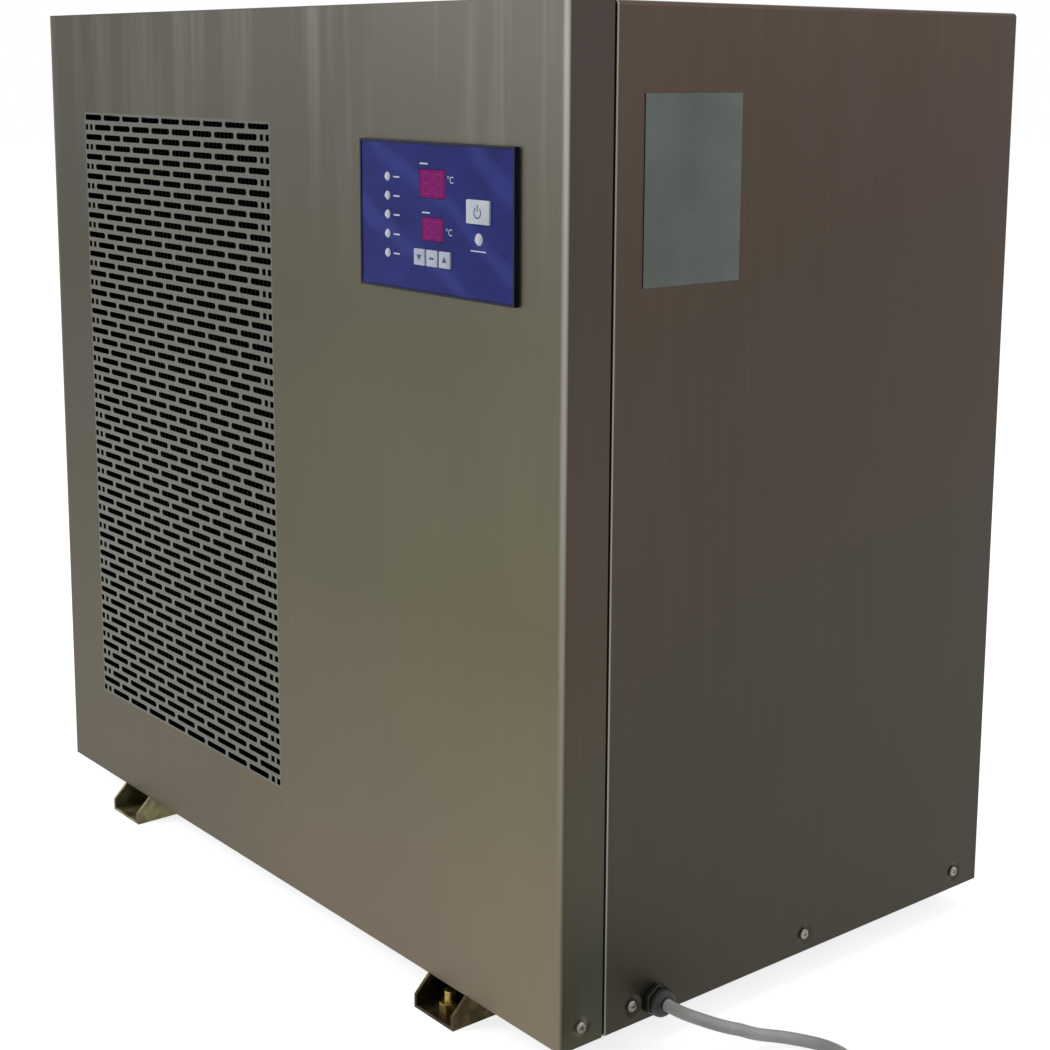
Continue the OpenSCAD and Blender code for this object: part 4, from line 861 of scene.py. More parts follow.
@dataclass
class MainsLead:
    """The mains lead: a free stretch from the gland, a two-layer round coil held by a strap, and the plug."""

    finishes: Finishes
    radius: float = 4.25 * MM
    exit: Point = (0.362, -0.132, 0.034)
    centre: tuple[float, float] = (0.477, -0.149)
    outer: float = 60 * MM
    turns: float = 2.45
    rings: int = 24
    pitch: float = 9.25 * MM
    low: float = 5.25 * MM
    start_deg: float = 47.2
    route: tuple[Point, ...] = (
        (0, 0, 1), (4, 0, 1), (12, 1, 0.99), (20, 3.5, 0.97), (27, 8, 0.92), (33, 14, 0.84), (37.5, 21, 0.75),
        (40, 29, 0.64), (41, 37, 0.5), (41, 48.5, 0.31), (42, 57, 0.2), (45, 65, 0.12), (49.5, 72.5, 0.05),
        (56, 78, 0.02), (63, 82.5, 0), (71.5, 85, 0), (80, 85.5, 0), (88.5, 84, 0), (96, 81, 0), (103, 76, 0),
        (123, 57, 0.02),
    )  # fmt: skip
    ribs: int = 5
    rib_pitch: float = 3.6
    relief: Pairs = ((5.1, 1.0), (5.7, 1.4), (5.7, 3.0), (5.1, 3.4))
    grip: Pairs = (
        (9, 20), (12.6, 21.2), (14, 23.5), (14.5, 27), (13.4, 33), (13.4, 38), (14.5, 43), (14.5, 47),
        (14, 49.2), (12.8, 50),
    )  # fmt: skip

    def heading(self, degrees: float) -> Vector:
        """Direction of travel at a place on the coil, which is wound clockwise."""
        a = math.radians(degrees)
        return Vector((math.sin(a), -math.cos(a), 0.0))

    def line(self) -> tuple[list[Vector], float]:
        """Works out the lead's centreline.

        Returns:
            Its points from gland to plug, and the coil's last angle in degrees.
        """
        steps = round(self.turns * self.rings)
        half = self.rings // 2
        inner = self.outer - self.turns * self.pitch
        x, y = self.centre
        coil = []
        for i in range(2 * steps + half + 1):
            climbed = (i - steps) / half
            if i <= steps:
                r = self.outer - i * self.pitch / self.rings
            elif i <= steps + half:
                r = inner - self.pitch / 4 * math.sin(math.pi * climbed)
            else:
                r = inner + (i - steps - half) * self.pitch / self.rings
            angle = math.radians(self.start_deg - i * 360 / self.rings)
            height = self.low + min(1.0, max(0.0, climbed)) * self.pitch
            coil.append(Vector((x + r * math.cos(angle), y + r * math.sin(angle), height)))
        last_deg = self.start_deg - (2 * steps + half) * 360 / self.rings
        first = coil[0] - 2 * self.radius * self.heading(self.start_deg)
        x, y, z = self.exit
        drop = z - self.radius
        free = [Vector((x + u * MM, y + v * MM, self.radius + share * drop)) for u, v, share in self.route]
        free += [first - 2 * self.radius * self.heading(self.start_deg), first]
        return free + coil + [coil[-1] + 5 * self.radius * self.heading(last_deg)], last_deg

    def build(self) -> None:
        """Makes the lead and its plug."""
        points, last_deg = self.line()
        curve = bpy.data.curves.new("mains_lead", "CURVE")
        curve.dimensions = "3D"
        curve.bevel_depth = self.radius
        curve.bevel_resolution = 4
        curve.resolution_u = 4
        curve.use_fill_caps = True
        spline = curve.splines.new("BEZIER")
        spline.bezier_points.add(len(points) - 1)
        for knot, point in zip(spline.bezier_points, points):
            knot.co = point
            knot.handle_left_type = knot.handle_right_type = "AUTO"
        curve.materials.append(self.finishes["lead_sheath"])
        lead = put("mains_lead", curve)
        settle(lead, CABINET, "lead_grey", "mains_cord", "cord_coil")
        plug = self.plug(points[-1], last_deg)

    def plug(self, end: Vector, last_deg: float) -> Piece:
        """Makes the moulded plug with its ribbed strain relief at the lead's end.

        Args:
            end: End of the lead.
            last_deg: The coil's last angle.

        Returns:
            The plug's body.
        """
        bm = bmesh.new()
        ribs = [(r, z + i * self.rib_pitch) for i in range(self.ribs) for r, z in self.relief]
        profile = scaled([(4.6, 0), *ribs, (5.4, 19), *self.grip])
        ring_mesh(bm, profile, 40, Matrix.Translation(end) @ turn_to(self.heading(last_deg)))
        plug = finish_mesh(bm, "plug_moulding", self.finishes["black_rubber"], 50)
        return settle(plug, CABINET, "black_rubber", "plug_body")


@dataclass
class Fasteners:
    """Pan-head screws, set on their places by Geometry Nodes."""

    finishes: Finishes
    tools: NodeTools
    head_r: float = 4.0 * MM
    head_h: float = 2.4 * MM
    rim: float = 0.25
    domed: float = 0.55
    shank_r: float = 2.0 * MM
    length: float = 8.0 * MM
    recess_arm: float = 1.9 * MM
    recess_half: float = 0.38 * MM
    recess_deep: float = 1.0 * MM
    dimpled_x: float = 0.3488
    low: float = 0.035
    top: float = 0.6885
    flange_y: float = -0.198
    side_shares: tuple[float, ...] = (0.147, 0.539, 0.936)
    rear_x: float = 0.3425
    ring_y: float = 0.2175
    ring_r: float = 0.139

    def template(self) -> Piece:
        """Makes one screw along +Z with its seat at the origin and a cross recess in its head.

        The head is upright for the share rim of its height, and domed above that.

        Returns:
            The screw.
        """
        bm = bmesh.new()
        r, h = self.head_r, self.head_h
        angles = [i * math.pi / 16 for i in range(8)]
        rise = (1.0 - self.rim) * h
        dome = [(r * math.cos(a) ** self.domed, self.rim * h + rise * math.sin(a)) for a in angles]
        shank = [(self.shank_r, -self.length), (self.shank_r, 0.0), (r * 0.96, 0.0)]
        ring_mesh(bm, shank + dome + [(0.4 * MM, h)], 24, Matrix())
        head = finish_mesh(bm, "screw_template", self.finishes["bright_zinc"], 40)
        arm, half = self.recess_arm, self.recess_half
        corner = ((arm, half), (half, half), (half, arm))
        quarters = ((1, 0), (0, 1), (-1, 0), (0, -1))
        outline = [(x * c - y * s, x * s + y * c) for c, s in quarters for x, y in corner]
        bm = bmesh.new()
        prism_mesh(bm, *([(x, y, z) for x, y in outline] for z in (h - self.recess_deep, h + MM)))
        cutter = finish_mesh(bm, "recess_cutter", self.finishes["bright_zinc"])
        cut = head.modifiers.new("recess", "BOOLEAN")
        cut.object = cutter
        cut.operation = "DIFFERENCE"
        mesh = evaluated_mesh(head)
        head.modifiers.remove(cut)
        head.data = mesh
        bpy.data.objects.remove(cutter)
        return head

    def set_out(
        self, name: str, places: Sequence[tuple[Point, Facing]], template: Piece, node: str
    ) -> None:
        """Sets the screw on every place and lets the result stand for a CAD node.

        Args:
            name: Name of the piece.
            places: Seat of each screw and the side that it faces.
            template: The screw.
            node: CAD node that the piece stands for.
        """
        mesh = bpy.data.meshes.new(name)
        mesh.from_pydata([p for p, _ in places], [], [])
        facing = mesh.attributes.new("facing", "FLOAT_VECTOR", "POINT")
        facing.data.foreach_set("vector", [c for _, side in places for c in side.value])
        holder = put(name, mesh)
        inputs = {"Template": template, "Finish": self.finishes["bright_zinc"]}
        self.tools.bake(holder, self.tools.on_points, inputs, Matrix(), 40)
        settle(holder, CABINET, "zinc_screw", node)

    def build(self) -> None:
        """Makes the cover's and the rear panel's screws."""
        template = self.template()
        x, low, step = self.dimpled_x, self.low, (self.top - self.low) / 3
        side_y = [self.flange_y, *((2 * share - 1) * HALF_DEPTH for share in self.side_shares)]
        ways = ((1, Facing.RIGHT), (-1, Facing.LEFT))
        sides = [((s * x, y, low), side) for s, side in ways for y in side_y]
        self.set_out("cover_screw_set", sides, template, "cover_screws")
        seats = [(s * self.rear_x, HALF_DEPTH, low + i * step) for s in (-1, 1) for i in range(4)]
        seats += [(s * HALF_WIDTH / 3, HALF_DEPTH, self.top) for s in (-1, 1)]
        quarters = [math.radians(45 + 90 * k) for k in range(4)]
        for z in FAN_HEIGHTS.values():
            r, y = self.ring_r, self.ring_y
            seats += [(FAN_X + r * math.cos(a), y, z + r * math.sin(a)) for a in quarters]
        self.set_out("rear_screw_set", [(seat, Facing.BACK) for seat in seats], template, "rear_screws")
        bpy.data.objects.remove(template)


@dataclass
class ControlPanel:
    """The panel's print, digits and key marks, and rounded key caps.

    Places across and up the panel are millimetres from its lower left corner.
    """

    finishes: Finishes
    left: float = 0.134
    bottom: float = 0.507
    face: float = -0.2188
    key_face: float = -0.2201
    ink: float = 0.05 * MM
    lamp_marks: tuple[float, ...] = (75.5, 62.7, 50.0, 37.0, 24.0)
    lamp_bar: tuple[float, float, float] = (39, 46, 0.5)
    title_bars: tuple[tuple[float, ...], ...] = (
        (69, 85.2, 78, 86.2),
        (71.5, 53.2, 80, 54.2),
        (124, 32, 140, 32.8),
    )
    degree_signs: Pairs = ((102.5, 76), (101, 42))
    degree_mm: float = 6.5
    digits: tuple[tuple[float, ...], ...] = (
        (76.5, 72.8, 9, 14.5),
        (89.1, 72.8, 9, 14.5),
        (77.6, 43.1, 7.4, 11.6),
        (88.4, 43.1, 7.4, 11.6),
    )
    bar_share: float = 0.17
    bar_gap: float = 0.3
    key_back: float = -0.2145
    rounding: float = 0.7 * MM
    lip_y: tuple[float, float] = (-0.2157, -0.2141)
    lip: float = 0.6
    stem_y: tuple[float, float] = (-0.2143, -0.2121)
    stem: float = 6.0
    sign_ring: tuple[float, float, float] = (3.9, 3.0, 0.4)
    sign_bar: tuple[float, float, float] = (0.45, 0.2, 4.6)

    def at(self, u: float, v: float, y: float) -> Point:
        """Place of a point on the panel."""
        return self.left + u * MM, y, self.bottom + v * MM

    def text(self, words: str, u: float, v: float) -> Piece:
        """Makes printed letters centred on a place of the film.

        Args:
            words: Letters to print.
            u: Place across the panel.
            v: Place up the panel.

        Returns:
            The print, not yet settled.
        """
        curve = bpy.data.curves.new("print", "FONT")
        curve.body = words
        curve.size = self.degree_mm * MM
        curve.align_x, curve.align_y = "CENTER", "CENTER"
        curve.extrude = self.ink / 2
        curve.resolution_u = 3
        holder = put("print", curve)
        mesh = evaluated_mesh(holder)
        bpy.data.objects.remove(holder)
        place = Matrix.Translation(self.at(u, v, self.face - self.ink / 2))
        mesh.transform(place @ Matrix.Rotation(math.pi / 2, 4, "X"))
        return put("print", mesh)

    def flat(self, bm: BMesh, outline: Pairs, face: float) -> None:
        """Adds a flat print with the given outline, standing on a face."""
        prism_mesh(bm, *([self.at(*place, y) for place in outline] for y in (face, face - self.ink)))

    def bar(self, bm: BMesh, face: float, u0: float, v0: float, u1: float, v1: float) -> None:
        """Adds a printed bar between two corners, standing on a face."""
        self.flat(bm, [(u0, v0), (u1, v0), (u1, v1), (u0, v1)], face)

    def digit(self, bm: BMesh, u: float, v: float, width: float, height: float) -> None:
        """Adds the seven bars of one unlit digit.

        Args:
            bm: Mesh that gets the bars.
            u: Its middle across the panel.
            v: Its middle up the panel.
            width: Width of the digit.
            height: Height of the digit.
        """
        half = width * self.bar_share / 2
        gap = self.bar_gap
        reach = width / 2 - 2 * half - gap
        for dv in (-height / 2 + half, 0.0, height / 2 - half):
            self.bar(bm, self.face, u - reach, v + dv - half, u + reach, v + dv + half)
        for cu in (u - width / 2 + half, u + width / 2 - half):
            for sv in (-1, 1):
                low, high = sorted((v + sv * (half + gap), v + sv * (height / 2 - gap)))
                self.bar(bm, self.face, cu - half, low, cu + half, high)

    def prints(self) -> None:
        """Makes the marks on the film and the digits on the displays."""
        marks = bmesh.new()
        start, end, half = self.lamp_bar
        for v in self.lamp_marks:
            self.bar(marks, self.face, start, v - half, end, v + half)
        for corners in self.title_bars:
            self.bar(marks, self.face, *corners)
        sheet = finish_mesh(marks, "panel_marks", self.finishes["white_ink"])
        join(sheet, *[self.text("°C", u, v) for u, v in self.degree_signs])
        settle(sheet, CABINET, "overlay_blue")
        digits = bmesh.new()
        for digit in self.digits:
            self.digit(digits, *digit)
        segments = finish_mesh(digits, "display_segments", self.finishes["segment_unlit"])
        settle(segments, CABINET, "display_magenta")

    def key(self, node: str, body: str, finish: str, u: float, v: float, width: float, height: float) -> None:
        """Makes one rounded key cap with its lip and stem, riding on its own key.

        Args:
            node: CAD node that it stands for.
            body: Body of the key.
            finish: Finish of the cap.
            u: Place across the panel.
            v: Place up the panel.
            width: Width of the cap.
            height: Height of the cap.
        """
        lip = 2 * self.lip
        parts = (
            (width, height, self.key_face, self.key_back, self.rounding),
            (width + lip, height + lip, *self.lip_y, 0.0),
            (self.stem, self.stem, *self.stem_y, 0.0),
        )
        bm = bmesh.new()
        for across, tall, front, back, bevel in parts:
            corners = (self.at(u + s * across / 2, v + s * tall / 2, y) for s, y in ((-1, front), (1, back)))
            block_mesh(bm, *corners, bevel)
        settle(finish_mesh(bm, node + "_cap", self.finishes[finish]), body, "key_grey", node)

    def keys(self) -> None:
        """Makes the keys with their marks: two arrows, a bar and the usual on and off sign."""
        small, large = (12.0, 11.0), (24.0, 15.5)
        dash = [(-2.4, -0.7), (2.4, -0.7), (2.4, 0.7), (-2.4, 0.7)]
        keys = [
            ("key_down", "down_key", "key_cap", 69.5, 24.0, small, [(-2.6, 1.6), (0.0, -2.4), (2.6, 1.6)]),
            ("key_set", "set_key", "key_cap", 83.4, 24.0, small, dash),
            ("key_up", "up_key", "key_cap", 97.3, 24.0, small, [(-2.6, -1.6), (2.6, -1.6), (0.0, 2.4)]),
            ("mode_key", "large_key", "mode_cap", 132.5, 57.5, large, None),
        ]
        for node, body, finish, u, v, size, mark in keys:
            self.key(node, body, finish, u, v, *size)
            sign = bmesh.new()
            if mark:
                self.flat(sign, [(u + a, v + b) for a, b in mark], self.key_face)
            else:
                self.power_sign(sign, u, v)
            settle(finish_mesh(sign, node + "_sign", self.finishes["blue_ink"]), body, "key_grey")

    def power_sign(self, bm: BMesh, u: float, v: float) -> None:
        """Adds an open ring and a bar.

        Args:
            bm: Mesh that gets the sign.
            u: Its middle across the panel.
            v: Its middle up the panel.
        """
        outer, inner, drop = self.sign_ring
        arc = [math.radians(a) for a in range(125, 416, 15)]
        for a, b in zip(arc, arc[1:]):
            corners = ((outer, a), (outer, b), (inner, b), (inner, a))
            quad = [(u + r * math.cos(c), v - drop + r * math.sin(c)) for r, c in corners]
            self.flat(bm, quad, self.key_face)
        half, low, high = self.sign_bar
        self.bar(bm, self.key_face, u - half, v + low, u + half, v + high)

    def build(self) -> None:
        """Makes the panel's pieces."""
        self.prints()
        self.keys()


@dataclass
class CableGland:
    """The nylon gland that the lead leaves through: hexagon, ribbed dome nut and thread with its locknut."""

    finishes: Finishes
    place: Point = (HALF_WIDTH, -0.132, 0.034)
    hexagon: Pairs = ((10.9, 0), (11.4, 0.5), (11.4, 3.4), (10.8, 4))
    dome: Pairs = (
        (9.2, 3.8), (9.9, 4.2), (10.2, 5), (10.1, 7.6), (9.4, 9.6), (8.2, 11.2), (6.9, 12), (4.6, 12),
    )  # fmt: skip
    thread: Pairs = ((8, -13), (8, 1))
    locknut: Pairs = ((11.4, -8), (11.4, -4))
    grips: int = 18
    groove: float = 0.035

    def ribbed(self, angle: float) -> float:
        """Radius factor of shallow grip ribs."""
        return 1.0 - self.groove * max(0.0, math.cos(self.grips * angle))

    def build(self) -> None:
        """Makes the gland."""
        turn = Matrix.Translation(self.place) @ Facing.RIGHT.turn
        spin = turn @ Matrix.Rotation(math.radians(30), 4, "Z")
        bm = bmesh.new()
        ring_mesh(bm, scaled(self.hexagon), 6, spin)
        ring_mesh(bm, scaled(self.dome), 8 * self.grips, turn, self.ribbed)
        ring_mesh(bm, scaled(self.thread), 32, turn)
        ring_mesh(bm, scaled(self.locknut), 6, spin)
        gland = finish_mesh(bm, "gland", self.finishes["black_nylon"], 30)
        settle(gland, CABINET, "black_plastic", "cable_gland")


@dataclass
class AirSide:
    """Fan guards of round wire and rotors with twisted blades."""

    finishes: Finishes
    tools: NodeTools
    guard_r: float = 133 * MM
    plate_r: float = 44 * MM
    stand: float = 16 * MM
    wire: float = 1.25 * MM
    wires: int = 8
    spokes: int = 4
    tuck: float = 6 * MM
    short: float = 1 * MM
    foot_out: float = 12 * MM
    foot_half: float = 6 * MM
    foot_thick: float = 1.5 * MM
    hub_r: float = 44 * MM
    tip_r: float = 115 * MM
    blades: int = 5
    across: int = 12
    along: int = 10
    half_thick: float = 1.0 * MM
    edge_share: float = 0.45
    chord_mm: tuple[float, float] = (34, 76)
    pitch_deg: tuple[float, float] = (40, 26)
    sweep_deg: tuple[float, float] = (-6, 10)
    camber: float = 0.07
    blade_z: float = -22 * MM

    def place(self, z: float) -> Matrix:
        """Carries a shape about Z, with Z to the back, to a fan's axis at the back panel."""
        return Matrix.Translation((FAN_X, HALF_DEPTH, z)) @ Facing.BACK.turn

    def guard(self, label: str, z: float) -> None:
        """Makes one guard: wire rings on radial wires, a pressed middle plate and four feet.

        Args:
            label: Which fan it is for.
            z: Height of the fan's axis.
        """
        black = self.finishes["powder_black"]
        wire, stand, place = self.wire, self.stand, self.place(z)
        rings = put(f"{label}_guard_wires", bpy.data.meshes.new("guard"))
        first = self.plate_r + 4 * MM
        step = (self.guard_r - wire - first) / (self.wires - 1)
        inputs = {"Count": self.wires, "First radius": first, "Step": step, "Wire radius": wire}
        inputs["Finish"] = black
        lift = Matrix.Translation((0, 0, stand + wire))
        self.tools.bake(rings, self.tools.wire_rings, inputs, place @ lift, 60)
        spoke = bmesh.new()
        begin, end = self.plate_r - self.tuck, self.guard_r - self.short
        along = Matrix.Translation((begin, 0, stand + wire)) @ Matrix.Rotation(math.pi / 2, 4, "Y")
        ring_mesh(spoke, [(wire, 0.0), (wire, end - begin)], 10, along)
        down = Matrix.Translation((self.guard_r - wire, 0, 0.8 * MM))
        ring_mesh(spoke, [(wire, 0.0), (wire, stand)], 10, down)
        low = (self.guard_r - 2 * wire, -self.foot_half, 0.0)
        high = (self.guard_r + self.foot_out, self.foot_half, self.foot_thick)
        block_mesh(spoke, low, high, 0.4 * MM)
        spokes = finish_mesh(spoke, f"{label}_guard_spokes", black, 50)
        turned = place @ Matrix.Rotation(math.pi / 4, 4, "Z")
        self.tools.bake(spokes, self.tools.round_axis, {"Count": self.spokes, "Finish": black}, turned, 50)
        middle = bmesh.new()
        rim = (self.plate_r + 2 * wire) / MM
        pressed = [(rim - 2, 0), (rim, 0.4), (rim, 1.4), (rim - 3, 2.5), (1, 2.5)]
        ring_mesh(middle, scaled(pressed), 64, place @ Matrix.Translation((0, 0, stand)))
        join(rings, spokes, finish_mesh(middle, f"{label}_guard_plate", black))
        settle(rings, CABINET, "guard_paint", f"{label}_fan_guard")

    def blade_point(self, t: float, s: float) -> Vector:
        """Place on a blade's middle surface.

        Args:
            t: Share of the way from the root, inside the hub, to the tip.
            s: Share of the chord, from -0.5 to 0.5.

        Returns:
            The place about the rotor's axis.
        """
        r = self.hub_r - 1.5 * MM + (self.tip_r - self.hub_r + 1.0 * MM) * t
        laws = ((self.chord_mm, t), (self.pitch_deg, t), (self.sweep_deg, t * t))
        chord_mm, pitch_deg, sweep_deg = (root + (tip - root) * share for (root, tip), share in laws)
        chord, pitch = chord_mm * MM, math.radians(pitch_deg)
        axial = s * chord * math.sin(pitch) + chord * self.camber * (1 - 4 * s * s)
        a = math.radians(sweep_deg) + s * chord * math.cos(pitch) / r
        return Vector((r * math.cos(a), r * math.sin(a), axial + self.blade_z))

    def blade(self) -> BMesh:
        """Makes one twisted and cambered blade about Z, rooted in the hub.

        Returns:
            Its mesh.
        """
        bm = bmesh.new()
        rows, columns = range(self.along + 1), range(self.across + 1)
        ends, edges = (0, self.along), (0, self.across)
        grid = [[self.blade_point(i / self.along, j / self.across - 0.5) for j in columns] for i in rows]
        tops, lows = [], []
        for i in rows:
            for j in columns:
                du = grid[min(i + 1, self.along)][j] - grid[max(i - 1, 0)][j]
                dv = grid[i][min(j + 1, self.across)] - grid[i][max(j - 1, 0)]
                thin = self.edge_share if j in edges else 1.0
                offset = du.cross(dv).normalized() * self.half_thick * thin
                tops.append(bm.verts.new(grid[i][j] + offset))
                lows.append(bm.verts.new(grid[i][j] - offset))

        def quad(*corners: tuple[list, int, int]) -> None:
            """Adds a face by the side, row and column of its corners."""
            bm.faces.new([side[i * len(columns) + j] for side, i, j in corners])

        for i in rows[:-1]:
            for j in columns[:-1]:
                quad((tops, i, j), (tops, i + 1, j), (tops, i + 1, j + 1), (tops, i, j + 1))
                quad((lows, i, j), (lows, i, j + 1), (lows, i + 1, j + 1), (lows, i + 1, j))
        for i in rows[:-1]:
            for j in edges:
                quad((tops, i, j), (tops, i + 1, j), (lows, i + 1, j), (lows, i, j))
        for j in columns[:-1]:
            for i in ends:
                quad((tops, i, j), (tops, i, j + 1), (lows, i, j + 1), (lows, i, j))
        return bm

    def rotor(self, label: str, z: float) -> None:
        """Makes one rotor: a ring of blades on a rounded can.

        Args:
            label: Which fan it is for.
            z: Height of the fan's axis.
        """
        nylon = self.finishes["black_nylon"]
        blades = finish_mesh(self.blade(), f"{label}_rotor", nylon, 40)
        inputs = {"Count": self.blades, "Finish": nylon}
        self.tools.bake(blades, self.tools.round_axis, inputs, self.place(z), 40)
        hub = bmesh.new()
        r = self.hub_r / MM
        front = [(1, -48.5), (r - 6, -48.5), (r - 2, -47.2), (r, -44)]
        back = [(r, 9.5), (r - 1, 11.2), (r - 2, 11.5), (14, 11.5), (13.5, 9), (1, 9)]
        ring_mesh(hub, scaled(front + back), 64, self.place(z))
        join(blades, finish_mesh(hub, f"{label}_can", nylon, 40))
        settle(blades, f"{label}_fan", "black_plastic", f"{label}_fan_rotor")

    def build(self) -> None:
        """Makes both fans."""
        for label, z in FAN_HEIGHTS.items():
            self.guard(label, z)
            self.rotor(label, z)


@dataclass
class WaterSide:
    """Grip-ribbed union nuts on the water fittings."""

    finishes: Finishes
    tools: NodeTools
    axis_x: float = 0.2488
    ports: tuple[tuple[str, float], ...] = (("inlet", 0.1035), ("outlet", 0.3835))
    grips: int = 16
    rib: tuple[Point, Point] = ((30.5 * MM, -1.6 * MM, 7.6 * MM), (33 * MM, 1.6 * MM, 24 * MM))
    section: Pairs = (
        (25.3, 7.3), (31.2, 7.3), (32, 8.1), (32, 23.6), (31, 25.4), (28, 26.3), (20.05, 26.3),
        (20.05, 22.3), (25.3, 22.3),
    )  # fmt: skip

    def build(self) -> None:
        """Makes both nuts: a bored ring with ribs round it."""
        nylon = self.finishes["black_nylon"]
        for label, z in self.ports:
            place = Matrix.Translation((self.axis_x, HALF_DEPTH, z)) @ Facing.BACK.turn
            rib = bmesh.new()
            block_mesh(rib, *self.rib, 0.6 * MM)
            nut = finish_mesh(rib, f"{label}_nut", nylon, 40)
            self.tools.bake(nut, self.tools.round_axis, {"Count": self.grips, "Finish": nylon}, place, 40)
            ring = bmesh.new()
            ring_mesh(ring, scaled(self.section), 72, place, loop=True)
            join(nut, finish_mesh(ring, f"{label}_ring", nylon, 30))
            settle(nut, f"{label}_nut", "black_plastic", f"{label}_union_nut")


class Solids:
    """CAD nodes that keep their own shape and get a finish."""

    finish_of = {
        "front_stainless": ["front_cover"],
        "grille_stainless": ["grille_panel"],
        "side_stainless": ["wrap_cover", "rear_panel"],
        "inner_stainless": ["base_tray", "front_frame"],
        # Shaded and lit copies of the rail zinc: painted shade on the right rail, painted light on the left
        # rail
        "yellow_zinc": ["right_foot_rail"],
        "pale_yellow_zinc": ["left_foot_rail"],
        "brass_plate": ["rail_studs", "rail_nuts", "board_standoffs", "reversing_valve"],
        "bright_zinc": ["compressor_bolts"],
        "satin_foil": ["rating_plate"],
        "panel_frame": ["control_bezel"],
        "panel_film": ["control_overlay"],
        "galvanised_sheet": [
            "panel_retainer",
            "condenser_frame",
            "divider_panel",
            "fan_rings",
            "electrical_box",
        ],
        "board_mask": ["control_board"],
        "black_nylon": ["key_switches", "terminal_cover", "cord_tie"],
        "display_filter": ["upper_display", "lower_display"],
        "lamp_lens": ["indicator_lenses"],
        # The condenser fins are painted near black: painted shade behind the grille
        "black_fin": ["condenser_fins"],
        "drawn_copper": ["condenser_bends", "copper_pipes", "filter_drier"],
        "black_enamel": ["fan_motors", "compressor_shell", "accumulator"],
        "black_rubber": ["compressor_mounts"],
        "white_barrel": ["exchanger_shell"],
        "dark_upvc": ["water_unions", "exchanger_cap"],
        "drawn_titanium": ["titanium_coil"],
        "device_grey": ["contactor"],
        "can_aluminium": ["run_capacitor"],
        "cream_nylon": ["terminal_block"],
        "nickel_pin": ["plug_pins"],
    }

    def dress(self, nodes: dict[str, Piece], finishes: Finishes) -> None:
        """Gives every kept node its finish.

        Args:
            nodes: CAD nodes by name.
            finishes: The finishes.
        """
        for finish, names in self.finish_of.items():
            for name in names:
                node = nodes[name]
                if not node.material_slots:
                    node.data.materials.append(finishes[finish])
                for place in node.material_slots:
                    place.material = finishes[finish]
        LOG.info("dressed %d nodes", sum(len(v) for v in self.finish_of.values()))


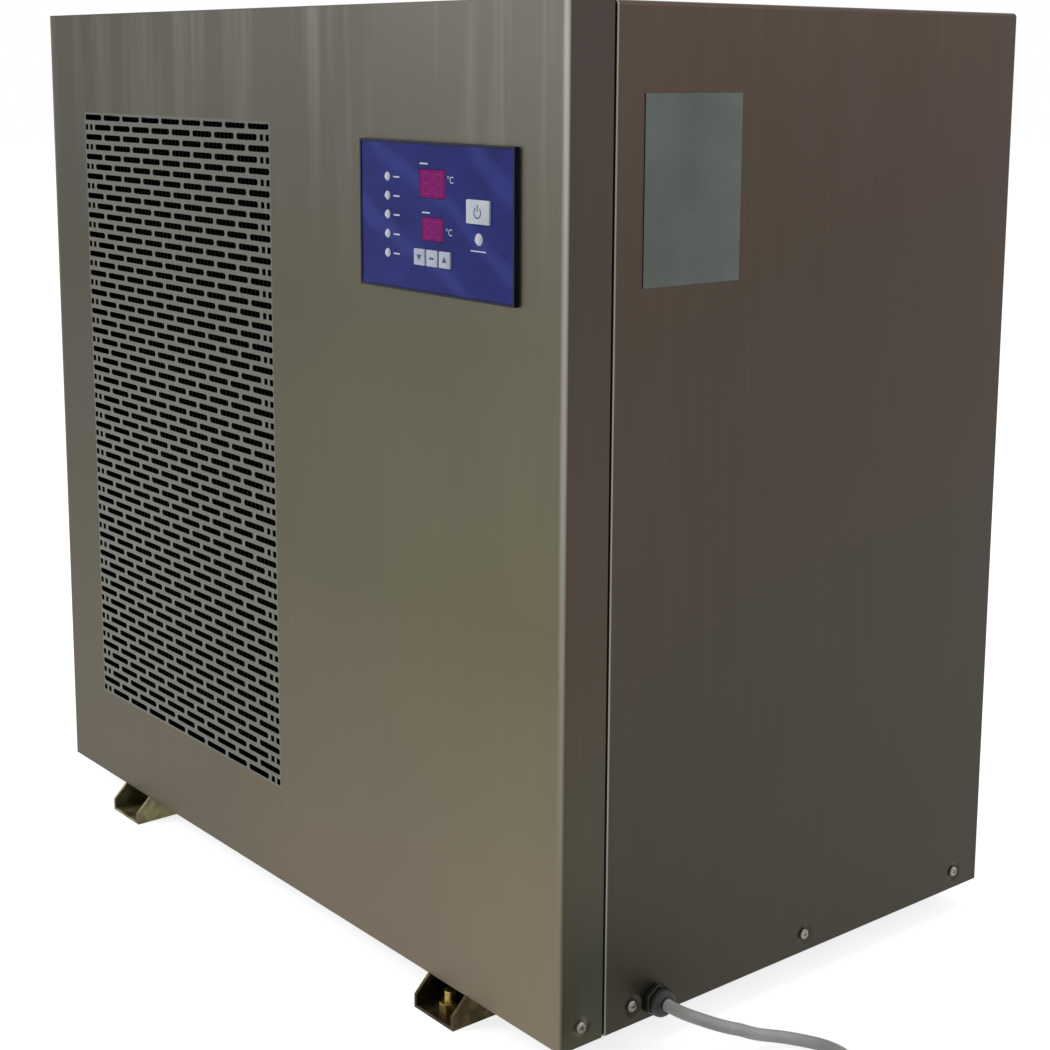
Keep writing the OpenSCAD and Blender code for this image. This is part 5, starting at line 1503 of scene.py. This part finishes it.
@dataclass
class Studio:
    """Camera at the photograph's angle, a pale floor, a white surround and soft lamps."""

    camera_at: Point = (1.2042, -0.9480, 0.6563)
    azimuth: float = 50.69
    pitch: float = 9.80
    roll: float = 0.30
    lens: float = 64.09
    sensor: float = 36.0
    shift_y: float = -0.13
    clip: tuple[float, float] = (0.05, 60.0)
    floor_reach: float = 14.0
    shaded: Pairs = ((0.24, 0.31), (0.10, 0.18))
    floor_glow: float = 0.8
    sky_light: float = 0.3
    lamps: tuple[tuple[str, Point, Point, float, float], ...] = (
        ("left_soft", (-1.6, -2.4, 2.0), (0.0, 0.0, 0.35), 1.6, 34),
        ("right_soft", (2.6, 1.6, 2.0), (0.0, 0.0, 0.35), 1.4, 10),
        ("top_soft", (0.0, 0.3, 3.0), (0.0, 0.0, 0.3), 2.2, 16),
    )

    def camera(self) -> None:
        """Makes the camera."""
        az, p, roll = (math.radians(a) for a in (self.azimuth, self.pitch, self.roll))
        ahead = Vector((-math.sin(az) * math.cos(p), math.cos(az) * math.cos(p), -math.sin(p)))
        right = Vector((math.cos(az), math.sin(az), 0.0))
        up = right.cross(ahead)
        turned_right = math.cos(roll) * right + math.sin(roll) * up
        turned_up = -math.sin(roll) * right + math.cos(roll) * up
        data = bpy.data.cameras.new("camera")
        data.lens = self.lens
        data.sensor_width = self.sensor
        data.shift_y = self.shift_y
        data.clip_start, data.clip_end = self.clip
        camera = put("camera", data)
        turn = Matrix((turned_right, turned_up, -ahead)).transposed().to_4x4()
        camera.matrix_world = Matrix.Translation(self.camera_at) @ turn
        bpy.context.scene.camera = camera

    def world(self) -> None:
        """White behind the object and in its reflections, softer as a light."""
        world = bpy.data.worlds.new("surround")
        bpy.context.scene.world = world
        world.use_nodes = True
        tree = world.node_tree
        tree.nodes.clear()
        seen, path = seen_or_mirrored(tree)
        through = {"operation": "MAXIMUM", 0: seen, 1: path.outputs["Is Transmission Ray"]}
        any_ray = add(tree, "ShaderNodeMath", through).outputs[0]
        light, shown = (
            add(tree, "ShaderNodeBackground", {"Color": linear(WHITE), "Strength": strength}).outputs[0]
            for strength in (self.sky_light, 1.0)
        )
        mixed = add(tree, "ShaderNodeMixShader", {0: any_ray, 1: light, 2: shown}).outputs[0]
        add(tree, "ShaderNodeOutputWorld", {"Surface": mixed})

    def floor(self) -> None:
        """Makes a pale floor that keeps the object's shadow and meets the white surround."""
        mesh = bpy.data.meshes.new("floor")
        reach = self.floor_reach
        corners = [(-reach, -reach, 0), (reach, -reach, 0), (reach, reach, 0), (-reach, reach, 0)]
        mesh.from_pydata(corners, [], [(0, 1, 2, 3)])
        floor = put("floor", mesh)
        material, tree = empty_material("floor_paint")
        seen, _ = seen_or_mirrored(tree)
        # No glow right under the cabinet, where its own shadow is deepest and holes in its base look down
        where = add(tree, "ShaderNodeTexCoord").outputs["Object"]
        place = add(tree, "ShaderNodeSeparateXYZ", {"Vector": where}).outputs
        glows = []
        for axis, (inner, outer) in enumerate(self.shaded):
            side = add(tree, "ShaderNodeMath", {"operation": "ABSOLUTE", 0: place[axis]}).outputs[0]
            ranges = {"From Min": inner, "From Max": outer, "To Max": self.floor_glow, "Value": side}
            glows.append(add(tree, "ShaderNodeMapRange", ranges).outputs["Result"])
        both_ways = {"operation": "MAXIMUM", 0: glows[0], 1: glows[1]}
        clear = add(tree, "ShaderNodeMath", both_ways).outputs[0]
        lift = add(tree, "ShaderNodeMath", {"operation": "MULTIPLY", 0: seen, 1: clear}).outputs[0]
        paint = add(tree, "ShaderNodeBsdfDiffuse", {"Color": linear("#e9e9e9")}).outputs[0]
        glow = add(tree, "ShaderNodeEmission", {"Color": linear(WHITE), "Strength": lift}).outputs[0]
        both = add(tree, "ShaderNodeAddShader", {0: paint, 1: glow}).outputs[0]
        add(tree, "ShaderNodeOutputMaterial", {"Surface": both})
        mesh.materials.append(material)

    def lamp(self, name: str, at: Point, aim: Point, size: float, power: float) -> None:
        """Adds a square soft lamp.

        Args:
            name: Name of the lamp.
            at: Where it hangs.
            aim: Point that it faces.
            size: Side of the square in metres.
            power: Watts.
        """
        data = bpy.data.lights.new(name, "AREA")
        data.size = size
        data.energy = power
        lamp = put(name, data)
        way = Vector(aim) - Vector(at)
        lamp.matrix_world = Matrix.Translation(at) @ way.to_track_quat("-Z", "Y").to_matrix().to_4x4()

    def build(self) -> None:
        """Makes the whole studio."""
        self.camera()
        self.world()
        self.floor()
        for lamp in self.lamps:
            self.lamp(*lamp)


def main() -> None:
    """Builds the scene: the studio with its camera first, then the finishes, the lead and the other pieces.
    """
    logging.basicConfig(level=logging.INFO, format="%(name)s: %(message)s")
    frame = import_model()
    bpy.context.scene.view_settings.view_transform = "Standard"
    Studio().build()
    finishes = Finishes()
    MainsLead(finishes).build()
    Solids().dress(frame["nodes"], finishes)
    tools = NodeTools()
    Fasteners(finishes, tools).build()
    ControlPanel(finishes).build()
    CableGland(finishes).build()
    AirSide(finishes, tools).build()
    WaterSide(finishes, tools).build()


if __name__ == "__main__":
    main()
